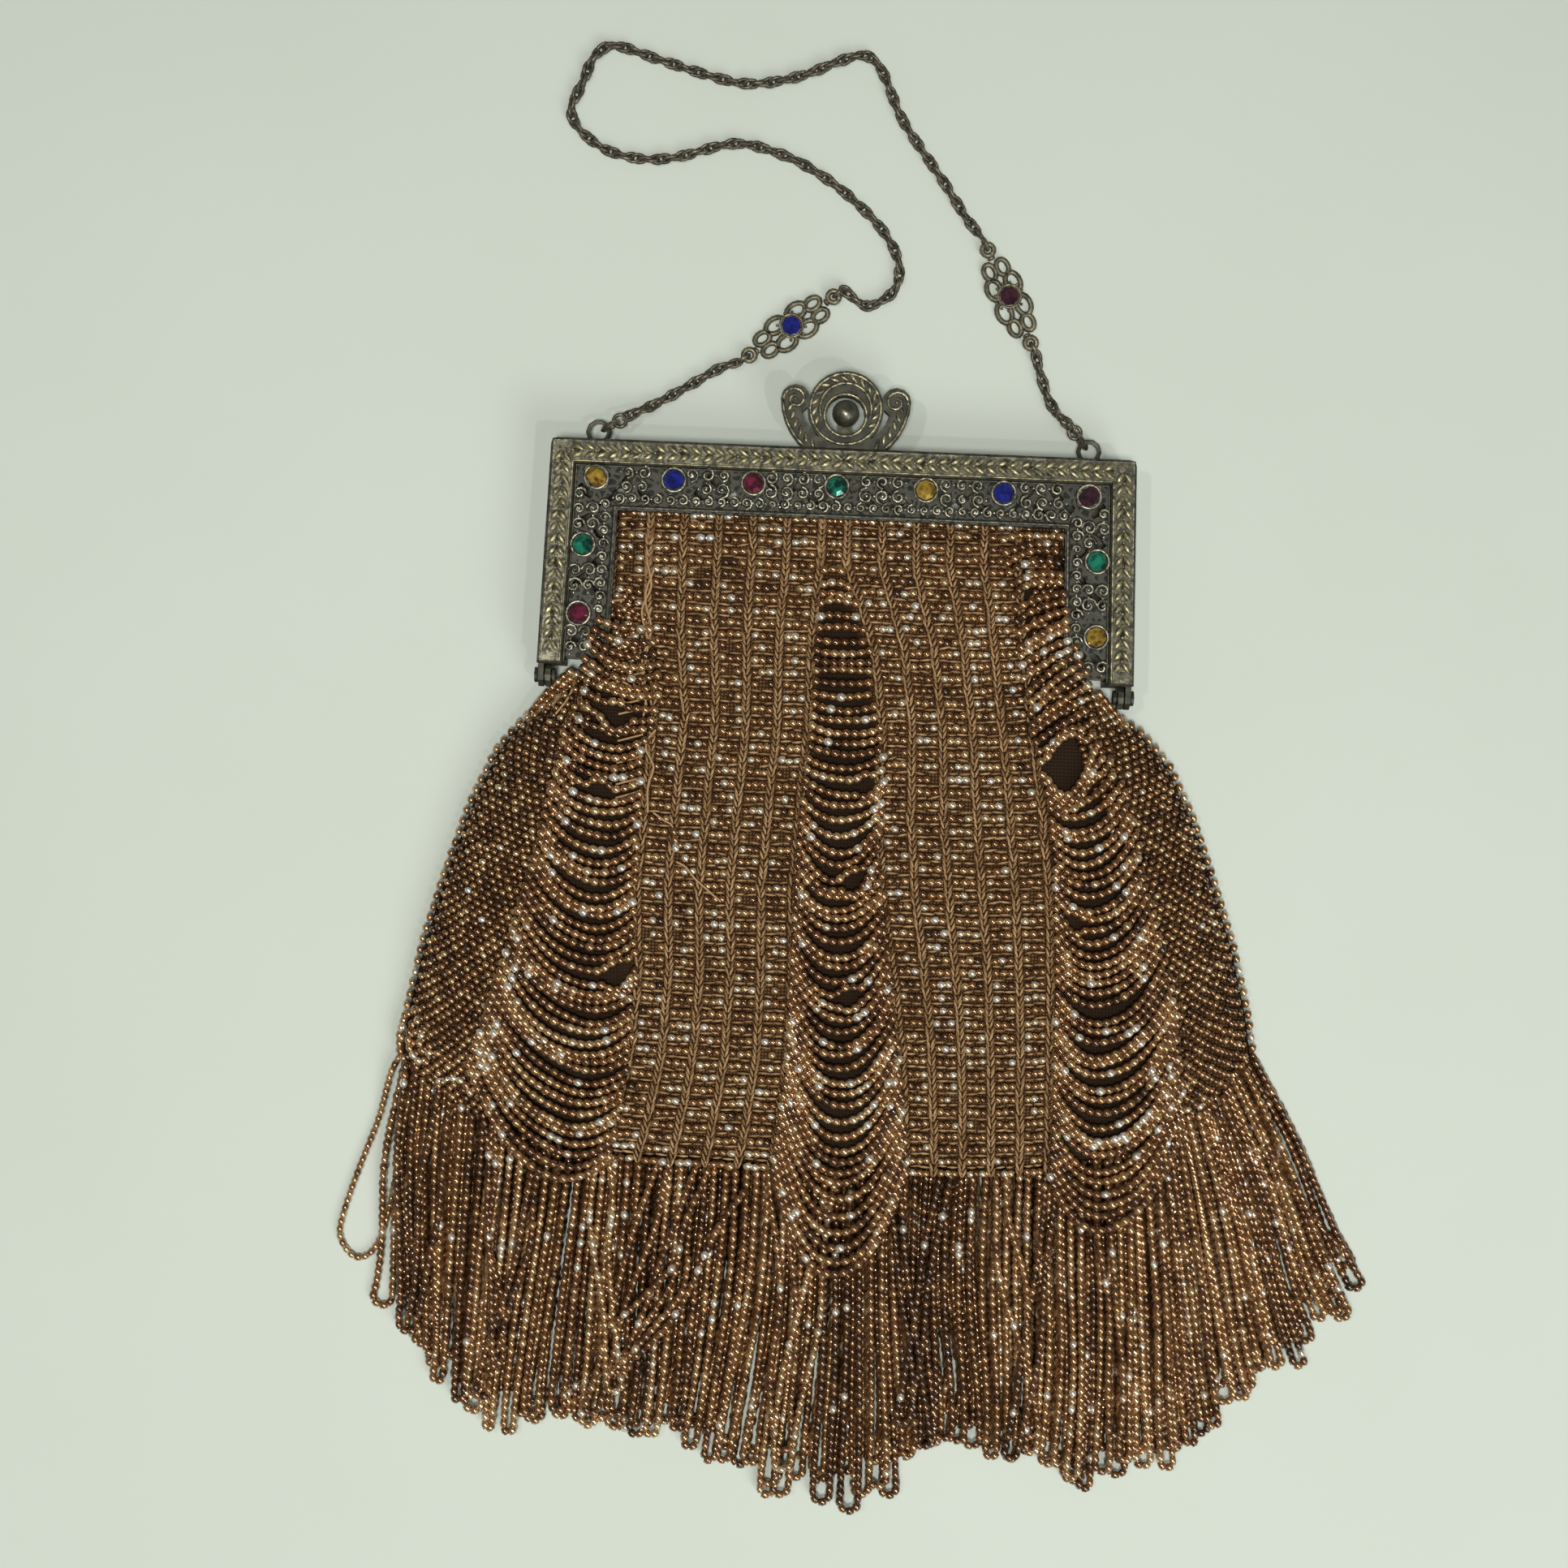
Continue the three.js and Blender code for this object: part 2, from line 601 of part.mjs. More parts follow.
// The eye at one end of a jewelled connector, and the chain's upright ring that hangs in it.
function connectorEnd(side, end) {
  const { x, y, turn } = medallionPlaces[side];
  const angle = THREE.MathUtils.degToRad(turn + (end < 0 ? 180 : 0));
  const along = (reach) => ({
    x: x + Math.cos(angle) * reach,
    y: y + Math.sin(angle) * reach,
    z: medallionEyeHeight + fit / 2,
  });
  const eye = medallionLength / 2 + medallionWire + medallionEye;
  const ring = eye + medallionEye - medallionEyeWire - fit - eyeWire + medallionEye;
  return { angle, eye: along(eye), ring: along(ring), start: along(ring + medallionEye) };
}

function tube(points, radius, step) {
  const path = new THREE.CatmullRomCurve3(
    points.map(([x, y, z]) => new THREE.Vector3(x, y, z === undefined ? radius + fit / 2 : z)),
    false,
    "centripetal",
  );
  const section = new THREE.Shape();
  section.absarc(0, 0, radius, 0, Math.PI * 2);
  const steps = Math.ceil(path.getLength() / step);
  return solid(new THREE.ExtrudeGeometry(section, { steps, extrudePath: path, curveSegments: 4, bevelEnabled: false }));
}

// A run of chain between two ends, each of them what hanger or connectorEnd gives.
function chain(name, from, to) {
  const ends = [from, to].map((end) => {
    const upright = end.start.z < middle / 2;
    const radius = upright ? medallionEye : eyeRadius;
    return ringSolid(radius, eyeWire, upright ? end.ring : end.eye, end.angle, upright);
  });
  const [first, last] = [from, to].map(({ start }) => [start.x, start.y, start.z]);
  return join([tube([first, ...routes[name], last], chainRadius, chainStep), ...ends]);
}

// The jewelled connectors in the handle: rings of flat wire round a setting, with an eye at each end.
// along and across: shares of the half length and half width, size: share of the half width.
const medallionRings = [
  { along: 0.3, across: 0.5, size: 0.52 },
  { along: -0.3, across: 0.5, size: 0.52 },
  { along: 0.3, across: -0.5, size: 0.52 },
  { along: -0.3, across: -0.5, size: 0.52 },
  { along: 0.68, across: 0.34, size: 0.46 },
  { along: -0.68, across: 0.34, size: 0.46 },
  { along: 0.68, across: -0.34, size: 0.46 },
  { along: -0.68, across: -0.34, size: 0.46 },
];
const medallionPlaces = {
  left: { x: -12.6, y: 28.3, turn: 37 },
  right: { x: 35.4, y: 36.8, turn: -63 },
};

function placeMedallion(whole, side) {
  const { x, y, turn } = medallionPlaces[side];
  return whole.rotate([0, 0, turn]).translate([x, y, fit / 2]);
}

function medallion(side) {
  const reach = medallionLength / 2;
  const width = medallionWidth / 2;
  const rings = medallionRings.map(({ along, across, size }) => {
    const outer = disc(along * reach, across * width, size * width, 0, medallionThickness, 8);
    const hole = disc(along * reach, across * width, size * width - medallionWire, -1, 2 * medallionThickness, 6);
    return outer.subtract(hole);
  });
  const collarHeight = medallionEyeHeight + medallionEyeWire;
  const collars = [-1, 1].map((end) => {
    const tip = end * (reach + medallionWire);
    const root = end * (reach - 2 * medallionWire);
    return block(Math.min(root, tip), Math.max(root, tip), -width / 3, width / 3, 0, collarHeight);
  });
  const eyes = [-1, 1].map((end) => {
    const x = end * (reach + medallionWire + medallionEye);
    const low = medallionEyeHeight - medallionEyeWire;
    const washer = disc(x, 0, medallionEye + medallionEyeWire, low, collarHeight, 8);
    return washer.subtract(disc(x, 0, medallionEye - medallionEyeWire, 0, 2 * collarHeight, 8));
  });
  const cup = disc(0, 0, stoneRadius + bezelWall, 0, medallionThickness + bezelHeight, 8);
  const hollow = disc(0, 0, stoneRadius + fit / 2, medallionThickness, medallionThickness + 2 * bezelHeight, 8);
  return placeMedallion(join([...rings, ...collars, ...eyes, cup]).subtract(hollow), side);
}

function medallionStone(side) {
  const seat = medallionThickness + fit + stoneDepth * 0.55;
  return placeMedallion(cutStone(stoneRadius - fit / 2, stoneDepth).translate([0, 0, seat]), side);
}

// Bag
// Every row of the bag's outer skin: height down the middle, half width, rise at each side, and the
// heights of its front, its back and its side edge over the surface.
const openingHalf = armX(-armLength / 2, bandInner) + bagTuck / 2;
const fullRows = [{ down: -bagTuck / openingHeight, plump: 0 }, ...frameRows].map(({ down, plump }) => ({
  y: -bandInner - down * openingHeight,
  half: openingHalf,
  rise: 0.15 * Math.max(down, 0),
  front: mix(cavityFront, Math.max(bagLoft, cavityFront), plump * 0.9),
  back: mix(cavityBack, fit / 2, plump),
  edge: middle,
}));
skirtRows.forEach(({ down, flare, rise, loft: share, edge }) => {
  fullRows.push({
    y: -armLength - down * skirtLength,
    half: mix(openingHalf, bagHalfWidth, flare),
    rise,
    front: share * bagLoft,
    back: fit / 2,
    edge: edge * bagLoft,
  });
});
fullRows.forEach((row) => {
  row.lean = bagLean * Math.max(0, (-armLength - row.y) / skirtLength);
});

function fullness(s) {
  return (1 - Math.abs(s) ** 4) ** 0.45;
}

// The point of the bag's skin at a share of its half width, on one of its rows or between them.
function onBag(row, s, thin = 0) {
  const up = (s < 0 ? hemRiseLeft : hemRiseRight) * row.rise * Math.abs(s) ** riseCurve;
  const full = fullness(s);
  return {
    x: row.lean + s * (row.half - 1.5 * thin),
    y: row.y + up,
    front: mix(row.edge, row.front - thin, full),
    back: mix(row.edge, row.back + thin, full),
  };
}

function bagSection(row, thin) {
  const columns = (thin ? innerColumns : bagColumns).map((s) => onBag(row, s, thin));
  const back = columns.map(({ x, y, back: z }) => [x, y, z]);
  const front = columns.slice(1, -1).map(({ x, y, front: z }) => [x, y, z]);
  return [...back, ...front.reverse()];
}

function bag() {
  const outer = solid(loft(fullRows.map((row) => bagSection(row, 0))));
  const above = { ...fullRows[0], y: fullRows[0].y + 2 * bagWall };
  const floor = { ...readTable(fullRows.map((row) => ({ ...row, at: -row.y })), "at", -hemY - 2 * bagWall) };
  const inner = [above, ...fullRows.slice(0, -1), floor];
  return outer.subtract(solid(loft(inner.map((row) => bagSection(row, bagWall)))));
}

// How high the front of the bag lies at a point, or nothing if the point is off the bag.
function bagHeight(x, y) {
  const table = fullRows.map((row) => ({ ...row, at: -row.y }));
  let low = bagTop;
  let high = -hemY;
  let spot;
  for (let i = 0; i < 30; i += 1) {
    const row = readTable(table, "at", (low + high) / 2);
    const s = THREE.MathUtils.clamp((x - row.lean) / row.half, -1, 1);
    spot = onBag(row, s);
    if (spot.y > y) low = (low + high) / 2;
    else high = (low + high) / 2;
  }
  return Math.abs(spot.y - y) < 0.5 ? spot.front : 0;
}

// Fringe
function lockAt(along) {
  const row = readTable(fringeSpread, "along", along);
  const top = onBag(fullRows.at(-1), along);
  const turn = THREE.MathUtils.degToRad(row.splay);
  return {
    x: top.x,
    y: top.y - lie,
    dx: Math.sin(turn),
    dy: -Math.cos(turn),
    length: row.length * fringeLength,
  };
}

function fringe() {
  const sections = [];
  for (let i = 0; i <= 2 * lockCount; i += 1) {
    const groove = i % 2 === 0 && i > 0 && i < 2 * lockCount;
    const lock = lockAt(i / lockCount - 1);
    const length = lock.length * (groove ? 1 - lockNotch : 1);
    const deep = fringeDepth * (groove ? 1 - lockGroove : 1);
    const spots = fringeProfile.map(({ down, depth }) => ({
      x: lock.x + lock.dx * down * length,
      y: lock.y + lock.dy * down * length,
      z: depth * deep,
    }));
    const over = spots.map(({ x, y, z }) => [x, y, z]);
    const under = [spots.at(-1), spots[0]].map(({ x, y }) => [x, y, 0]);
    sections.push([...under, ...over]);
  }
  return solid(loft(sections));
}

// Swags
function swagSection(rows, down, ridge) {
  const row = readTable(rows, "down", down);
  const bagRow = readTable(
    fullRows.map((r) => ({ ...r, at: (fullRows[0].y - r.y) / bagLength })),
    "at",
    down,
  );
  const spots = swagAcross.map((c) => {
    const place = onBag(bagRow, mix(row.left, row.right, (c + 1) / 2));
    const x = place.x;
    const y = place.y - row.sag * swagDrop * (1 - c * c);
    const z = Math.max(bagHeight(x, y), bagHeight(x, y + swagLead), y < hemY + swagDrop ? fringeDepth : 0) + lie;
    return { x, y, z, top: z + swagThickness + ridge * (1 - 0.5 * c * c) };
  });
  const under = spots.map(({ x, y, z }) => [x, y, z]);
  const over = spots.map(({ x, y, top }) => [x, y, top]);
  return [...under, ...over.reverse()];
}

function swags(rows) {
  const first = rows[0].down;
  const sections = [];
  for (let i = 0; i <= swagRows; i += 1) {
    sections.push(swagSection(rows, mix(first, 1, i / swagRows), i % 2 ? swagRidge : 0));
  }
  return solid(loft(sections));
}

const purse = new THREE.Group();

function add(name, manifold, look) {
  const mesh = new THREE.Mesh(geometryOf(manifold), materials[look]);
  mesh.name = name;
  purse.add(mesh);
}

add("frame_front", frontFrame(), "tarnished_brass");
add("frame_back", backFrame(), "tarnished_brass");
add("filigree_front", frontBand(), "tarnished_brass");
add("filigree_back", backBand(), "tarnished_brass");
add("hinge_pin_left", hingePin(-1), "tarnished_brass");
add("hinge_pin_right", hingePin(1), "tarnished_brass");
add("clasp_ball", claspBall(), "tarnished_brass");
for (const place of stonePlaces) add(place.name, bandStone(place), place.look);
add("jump_ring_left", jumpRing(-1), "tarnished_brass");
add("jump_ring_right", jumpRing(1), "tarnished_brass");
add("chain_left", chain("chain_left", hanger(-1), connectorEnd("left", -1)), "tarnished_brass");
add("chain_middle", chain("chain_middle", connectorEnd("left", 1), connectorEnd("right", -1)), "tarnished_brass");
add("chain_right", chain("chain_right", connectorEnd("right", 1), hanger(1)), "tarnished_brass");
add("medallion_left", medallion("left"), "tarnished_brass");
add("medallion_right", medallion("right"), "tarnished_brass");
add("stone_blue_handle", medallionStone("left"), "blue");
add("stone_violet_handle", medallionStone("right"), "violet");
add("bag", bag(), "bead_knit");
for (const [name, rows] of Object.entries(swagColumns)) add(name, swags(rows), "bead_strands");
add("fringe", fringe(), "bead_strands");
add("stray_loop", tube(routes.stray_loop, strayRadius, chainStep), "bead_strands");

const middleOfAll = new THREE.Box3().setFromObject(purse).getCenter(new THREE.Vector3());
purse.position.set(-middleOfAll.x, -middleOfAll.y, 0);

export default purse;
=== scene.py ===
import math

import bmesh
import bpy
import numpy as np
from mathutils import Matrix, Vector, noise


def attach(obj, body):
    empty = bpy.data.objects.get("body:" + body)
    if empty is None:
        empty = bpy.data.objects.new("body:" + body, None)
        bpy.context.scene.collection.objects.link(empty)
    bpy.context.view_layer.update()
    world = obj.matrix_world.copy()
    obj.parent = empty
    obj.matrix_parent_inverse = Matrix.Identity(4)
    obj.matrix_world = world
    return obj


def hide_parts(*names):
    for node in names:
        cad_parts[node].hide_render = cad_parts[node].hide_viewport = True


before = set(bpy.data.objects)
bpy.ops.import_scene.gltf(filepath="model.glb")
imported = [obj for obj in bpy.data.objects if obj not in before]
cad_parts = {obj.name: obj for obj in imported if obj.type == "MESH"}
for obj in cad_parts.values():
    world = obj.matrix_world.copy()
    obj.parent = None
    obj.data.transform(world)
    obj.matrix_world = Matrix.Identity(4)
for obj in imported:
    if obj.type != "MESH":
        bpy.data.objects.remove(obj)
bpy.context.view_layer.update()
print("frame loaded:", len(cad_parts), "nodes")

# Every place below is in mm from the middle of the frame's top edge: x to the right, y up the purse,
# z up from the table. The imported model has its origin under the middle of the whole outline.
originShift = np.array([-8.958, 70.002, 0.0])
chance = np.random.default_rng(1920)


def metres(points):
    return (np.asarray(points, dtype=float) + originShift) / 1000


# Camera, floor and lights
view = {
    "middle": (-10.1, -73.2),  # what the middle of the photograph looks at
    "height": 484.5,
    "turn": 2.33,
    "lens": 50,
}
camera = bpy.data.objects.new("camera", bpy.data.cameras.new("camera"))
camera.data.lens = view["lens"]
camera.data.sensor_width = 36
camera.location = metres((*view["middle"], view["height"]))
camera.rotation_euler = (0, 0, math.radians(view["turn"]))
camera.data.clip_start = 0.01
bpy.context.scene.collection.objects.link(camera)
bpy.context.scene.camera = camera
bpy.context.scene.view_settings.view_transform = "Standard"


# Materials: small helpers, then the effects that several finishes share
def addNode(tree, kind, **inputs):
    made = tree.nodes.new(kind)
    for name, value in inputs.items():
        made.inputs[name.replace("_", " ")].default_value = value
    return made


def join(tree, giver, output, taker, entry):
    tree.links.new(giver.outputs[output], taker.inputs[entry])


def place(tree, group, **inputs):
    made = tree.nodes.new("ShaderNodeGroup")
    made.node_tree = group
    for name, value in inputs.items():
        made.inputs[name].default_value = value
    return made


def attribute(tree, name):
    made = tree.nodes.new("ShaderNodeAttribute")
    made.attribute_name = name
    return made


def ramp(tree, stops):
    made = tree.nodes.new("ShaderNodeValToRGB")
    elements = made.color_ramp.elements
    while len(elements) < len(stops):
        elements.new(0.5)
    for element, (position, colour) in zip(elements, stops):
        element.position = position
        element.color = (*colour, 1)
    return made


def mixColour(tree, first=None, second=None, blend="MIX"):
    made = tree.nodes.new("ShaderNodeMix")
    made.data_type = "RGBA"
    made.blend_type = blend
    for label, colour in (("A", first), ("B", second)):
        if colour:
            made.inputs[label].default_value = (*colour, 1)
    return made


def finish(name, **settings):
    made = bpy.data.materials.new(name)
    made.use_nodes = True
    shader = made.node_tree.nodes["Principled BSDF"]
    for label, value in settings.items():
        shader.inputs[label.replace("_", " ")].default_value = value
    return made, made.node_tree, shader


# An effect that turns some value into a mask: 0 up to Low, 1 from High on
def maskEffect(name, **defaults):
    tree = bpy.data.node_groups.new(name, "ShaderNodeTree")
    for label, value in defaults.items():
        socket = tree.interface.new_socket(name=label, in_out="INPUT", socket_type="NodeSocketFloat")
        socket.default_value = value
    tree.interface.new_socket(name="Mask", in_out="OUTPUT", socket_type="NodeSocketFloat")
    entry = tree.nodes.new("NodeGroupInput")
    coords = tree.nodes.new("ShaderNodeTexCoord")
    span = tree.nodes.new("ShaderNodeMapRange")
    join(tree, entry, "Low", span, "From Min")
    join(tree, entry, "High", span, "From Max")
    join(tree, span, "Result", tree.nodes.new("NodeGroupOutput"), "Mask")
    return tree, entry, coords, span


# Patches: soft cloudy variation, for grime, worn places and uneven dye
patches, patchEntry, patchCoords, patchSpan = maskEffect("patches", Scale=200.0, Low=0.4, High=0.6)
patchNoise = addNode(patches, "ShaderNodeTexNoise", Detail=4.0, Roughness=0.6)
join(patches, patchCoords, "Object", patchNoise, "Vector")
join(patches, patchEntry, "Scale", patchNoise, "Scale")
join(patches, patchNoise, "Fac", patchSpan, "Value")

# Height: how far a point is between two heights over the table, for relief that is worn on top
height, _, heightCoords, heightSpan = maskEffect("heightWear", Low=0.0, High=0.01)
heightSplit = height.nodes.new("ShaderNodeSeparateXYZ")
join(height, heightCoords, "Object", heightSplit, "Vector")
join(height, heightSplit, "Z", heightSpan, "Value")

# Pierced: small uneven holes, painted as near-black spots between the scrolls of the band, as painted shade
# where the openings are
pierced, piercedEntry, piercedCoords, piercedSpan = maskEffect("pierced", Scale=600.0, Low=0.3, High=0.4)
piercedCells = pierced.nodes.new("ShaderNodeTexVoronoi")
piercedCells.feature = "DISTANCE_TO_EDGE"
join(pierced, piercedCoords, "Object", piercedCells, "Vector")
join(pierced, piercedEntry, "Scale", piercedCells, "Scale")
join(pierced, piercedCells, "Distance", piercedSpan, "Value")


def agedMetal(name, base, **changes):
    look = {**base, **changes}
    made, tree, shader = finish(name, Metallic=look["metallic"])
    grime = place(tree, patches, Scale=look["grimeScale"], Low=0.35, High=0.65)
    rubbed = place(tree, patches, Scale=look["rubScale"], Low=0.42, High=0.6)
    relief = place(tree, height, Low=look["wearFrom"], High=look["wearTo"])
    worn = tree.nodes.new("ShaderNodeMath")
    worn.operation = "MULTIPLY"
    body = mixColour(tree, look["dark"], look["body"])
    whole = mixColour(tree, second=look["worn"])
    rough = addNode(tree, "ShaderNodeMapRange", To_Min=look["rough"][1], To_Max=look["rough"][0])
    bump = addNode(tree, "ShaderNodeBump", Strength=0.25, Distance=0.0002)
    join(tree, grime, "Mask", body, "Factor")
    join(tree, relief, "Mask", worn, 0)
    join(tree, rubbed, "Mask", worn, 1)
    join(tree, body, "Result", whole, "A")
    join(tree, worn, "Value", whole, "Factor")
    join(tree, whole, "Result", shader, "Base Color")
    join(tree, worn, "Value", rough, "Value")
    join(tree, rough, "Result", shader, "Roughness")
    join(tree, grime, "Mask", bump, "Height")
    join(tree, bump, "Normal", shader, "Normal")
    if "holes" in look:
        holes = place(tree, pierced, Scale=look["holes"], Low=0.12, High=0.2)
        # the holes are painted near black: painted shade of the openings
        paintedHoleShade = mixColour(tree, second=(0.008, 0.008, 0.007))
        join(tree, holes, "Mask", paintedHoleShade, "Factor")
        join(tree, whole, "Result", paintedHoleShade, "A")
        join(tree, paintedHoleShade, "Result", shader, "Base Color")
    return made


metalLook = {
    "metallic": 0.7,
    "dark": (0.04, 0.041, 0.03),
    "body": (0.1, 0.097, 0.068),
    "worn": (0.38, 0.33, 0.18),
    "grimeScale": 420,
    "rubScale": 900,
    "rough": (0.34, 0.55),
    "wearFrom": 0.0129,
    "wearTo": 0.0138,
}
scrollLook = {
    **metalLook,
    "body": (0.11, 0.105, 0.078),
    "worn": (0.38, 0.35, 0.26),
    "wearFrom": 0.0117,
    "wearTo": 0.0121,
}
chainLook = {**metalLook, "wearFrom": 0.0, "wearTo": 0.004}
rimMetal = agedMetal(
    "rimMetal", metalLook, dark=(0.025, 0.026, 0.02), body=(0.06, 0.058, 0.045),
    worn=(0.115, 0.107, 0.072), wearFrom=0.0114, wearTo=0.0128,
)
leafMetal = agedMetal("leafMetal", metalLook, body=(0.165, 0.153, 0.09), wearFrom=0.0128, wearTo=0.0133)
bandMetal = agedMetal(
    "bandMetal", metalLook, body=(0.045, 0.044, 0.037), wearFrom=0.0123, wearTo=0.0132, holes=620.0,
)
scrollMetal = agedMetal("scrollMetal", scrollLook)
# the berries are painted pale: their own rubbed metal, and a painted highlight
berryMetal = agedMetal(
    "berryMetal", scrollLook, body=(0.3, 0.29, 0.24), worn=(0.75, 0.73, 0.64), rough=(0.2, 0.4),
)
backMetal = agedMetal("backMetal", metalLook, wearFrom=0.02, wearTo=0.03)
claspMetal = agedMetal(
    "claspMetal", metalLook, worn=(0.2, 0.19, 0.15), rough=(0.2, 0.4), wearFrom=0.0152, wearTo=0.0165,
)
plateMetal = agedMetal(
    "plateMetal", scrollLook, body=(0.09, 0.085, 0.06), worn=(0.4, 0.36, 0.22),
    wearFrom=0.0112, wearTo=0.0117,
)
chainMetal = agedMetal("chainMetal", chainLook, body=(0.09, 0.078, 0.058), worn=(0.24, 0.2, 0.14))
connectorMetal = agedMetal("connectorMetal", chainLook, body=(0.15, 0.132, 0.09), worn=(0.34, 0.3, 0.19))


# Glass beads: each bead carries its own shade, from smoky brown to clear gold. The palest shades, near white,
# are painted glints.
def beadGlass(name, stops, metallic, rough):
    made, tree, shader = finish(
        name, Metallic=metallic, IOR=1.6, Coat_Weight=0.85, Coat_IOR=1.6, Coat_Roughness=0.12,
    )
    shade = attribute(tree, "shade")
    colours = ramp(tree, stops)
    cloud = place(tree, patches, Scale=70.0, Low=0.3, High=0.7)
    tint = mixColour(tree, second=(0.74, 0.68, 0.62), blend="MULTIPLY")
    roughness = addNode(tree, "ShaderNodeMapRange", To_Min=rough[0], To_Max=rough[1])
    join(tree, shade, "Fac", colours, "Fac")
    join(tree, colours, "Color", tint, "A")
    join(tree, cloud, "Mask", tint, "Factor")
    join(tree, tint, "Result", shader, "Base Color")
    join(tree, shade, "Fac", roughness, "Value")
    join(tree, roughness, "Result", shader, "Roughness")
    return made


# the last stops, pale cream to near white, are the colour of the painted glints
amberStops = [
    (0.0, (0.07, 0.031, 0.012)),
    (0.3, (0.2, 0.092, 0.034)),
    (0.55, (0.41, 0.222, 0.092)),
    (0.8, (0.7, 0.48, 0.25)),
    (0.93, (0.9, 0.78, 0.57)),
    (1.0, (1.0, 0.96, 0.88)),
]
knitGlass = beadGlass("knitGlass", amberStops, 0.78, (0.3, 0.15))
strandGlass = beadGlass("strandGlass", amberStops, 0.8, (0.28, 0.14))


# Silk thread, matt and tan
def silk(name, dark, pale):
    made, tree, shader = finish(name, Roughness=0.85, Specular_IOR_Level=0.2)
    shade = attribute(tree, "shade")
    tint = mixColour(tree, dark, pale)
    twist = addNode(tree, "ShaderNodeTexWave", Scale=900.0, Distortion=3.0)
    coords = addNode(tree, "ShaderNodeTexCoord")
    bump = addNode(tree, "ShaderNodeBump", Strength=0.4, Distance=0.0001)
    join(tree, coords, "Object", twist, "Vector")
    join(tree, twist, "Fac", bump, "Height")
    join(tree, bump, "Normal", shader, "Normal")
    join(tree, shade, "Fac", tint, "Factor")
    join(tree, tint, "Result", shader, "Base Color")
    return made


stitchSilk = silk("stitchSilk", (0.17, 0.092, 0.038), (0.4, 0.25, 0.125))


# The knitted ground under the beads: fine stitches along its own map, darker where the swags shade it
def knitGround(name):
    made, tree, shader = finish(name, Roughness=0.9, Specular_IOR_Level=0.15)
    mapped = addNode(tree, "ShaderNodeUVMap")
    mapped.uv_map = "knit"
    wales = addNode(tree, "ShaderNodeTexWave", Scale=0.42, Distortion=0.6)
    wales.bands_direction = "X"
    courses = addNode(tree, "ShaderNodeTexWave", Scale=0.42, Distortion=0.6)
    courses.bands_direction = "Y"
    both = tree.nodes.new("ShaderNodeMath")
    both.operation = "MULTIPLY"
    shaded = attribute(tree, "shaded")
    thread = mixColour(tree, (0.03, 0.012, 0.004), (0.22, 0.118, 0.052))
    whole = mixColour(tree, second=(0.022, 0.012, 0.006))
    bump = addNode(tree, "ShaderNodeBump", Strength=0.8, Distance=0.0005)
    for wave in (wales, courses):
        join(tree, mapped, "UV", wave, "Vector")
    join(tree, wales, "Fac", both, 0)
    join(tree, courses, "Fac", both, 1)
    join(tree, both, "Value", thread, "Factor")
    join(tree, thread, "Result", whole, "A")
    join(tree, shaded, "Fac", whole, "Factor")
    join(tree, whole, "Result", shader, "Base Color")
    join(tree, both, "Value", bump, "Height")
    join(tree, bump, "Normal", shader, "Normal")
    return made


groundKnit = knitGround("groundKnit")


# Foil-backed glass stones
def stoneGlass(name, deep, bright):
    made, tree, shader = finish(name, Metallic=0.55, Roughness=0.08, Coat_Weight=1.0, Coat_Roughness=0.03)
    cloud = place(tree, patches, Scale=500.0, Low=0.4, High=0.6)
    tint = mixColour(tree, deep, bright)
    join(tree, cloud, "Mask", tint, "Factor")
    join(tree, tint, "Result", shader, "Base Color")
    return made


stoneLooks = {
    "stone_amber": stoneGlass("amberGlass", (0.12, 0.055, 0.006), (0.6, 0.38, 0.05)),
    "stone_blue": stoneGlass("blueGlass", (0.004, 0.006, 0.1), (0.02, 0.03, 0.4)),
    "stone_ruby": stoneGlass("rubyGlass", (0.05, 0.005, 0.014), (0.25, 0.022, 0.065)),
    "stone_green": stoneGlass("greenGlass", (0.0, 0.03, 0.022), (0.015, 0.3, 0.18)),
    "stone_violet": stoneGlass("violetGlass", (0.018, 0.005, 0.012), (0.09, 0.022, 0.045)),
}

floorCard, floorTree, floorShader = finish("floorCard", Roughness=0.75)
floorCloud = place(floorTree, patches, Scale=7.0, Low=0.3, High=0.7)
floorTint = mixColour(floorTree, (0.495, 0.54, 0.485), (0.515, 0.56, 0.51))
join(floorTree, floorCloud, "Mask", floorTint, "Factor")
join(floorTree, floorTint, "Result", floorShader, "Base Color")
print("materials made")


# Meshes
def addMesh(name, mesh, material, smooth=True):
    piece = bpy.data.objects.new(name, mesh)
    bpy.context.scene.collection.objects.link(piece)
    mesh.materials.append(material)
    mesh.polygons.foreach_set("use_smooth", [smooth] * len(mesh.polygons))
    mesh.update()
    return piece


def fromBmesh(name, shape, material, smooth=True):
    mesh = bpy.data.meshes.new(name)
    shape.to_mesh(mesh)
    shape.free()
    return addMesh(name, mesh, material, smooth)


floor = bmesh.new()
bmesh.ops.create_grid(floor, x_segments=4, y_segments=4, size=2.5)
bmesh.ops.translate(floor, verts=floor.verts, vec=(0, 0, -0.0001))
floorPiece = fromBmesh("floor", floor, floorCard)


def addLamp(name, kind, at, aim, energy, size, colour):
    lamp = bpy.data.objects.new(name, bpy.data.lights.new(name, kind))
    lamp.data.energy = energy
    lamp.data.color = colour
    if kind == "AREA":
        lamp.data.size = size
    else:
        lamp.data.shadow_soft_size = size
    lamp.location = at
    lamp.rotation_mode = "QUATERNION"
    lamp.rotation_quaternion = (Vector(aim) - Vector(at)).to_track_quat("-Z", "Y")
    bpy.context.scene.collection.objects.link(lamp)


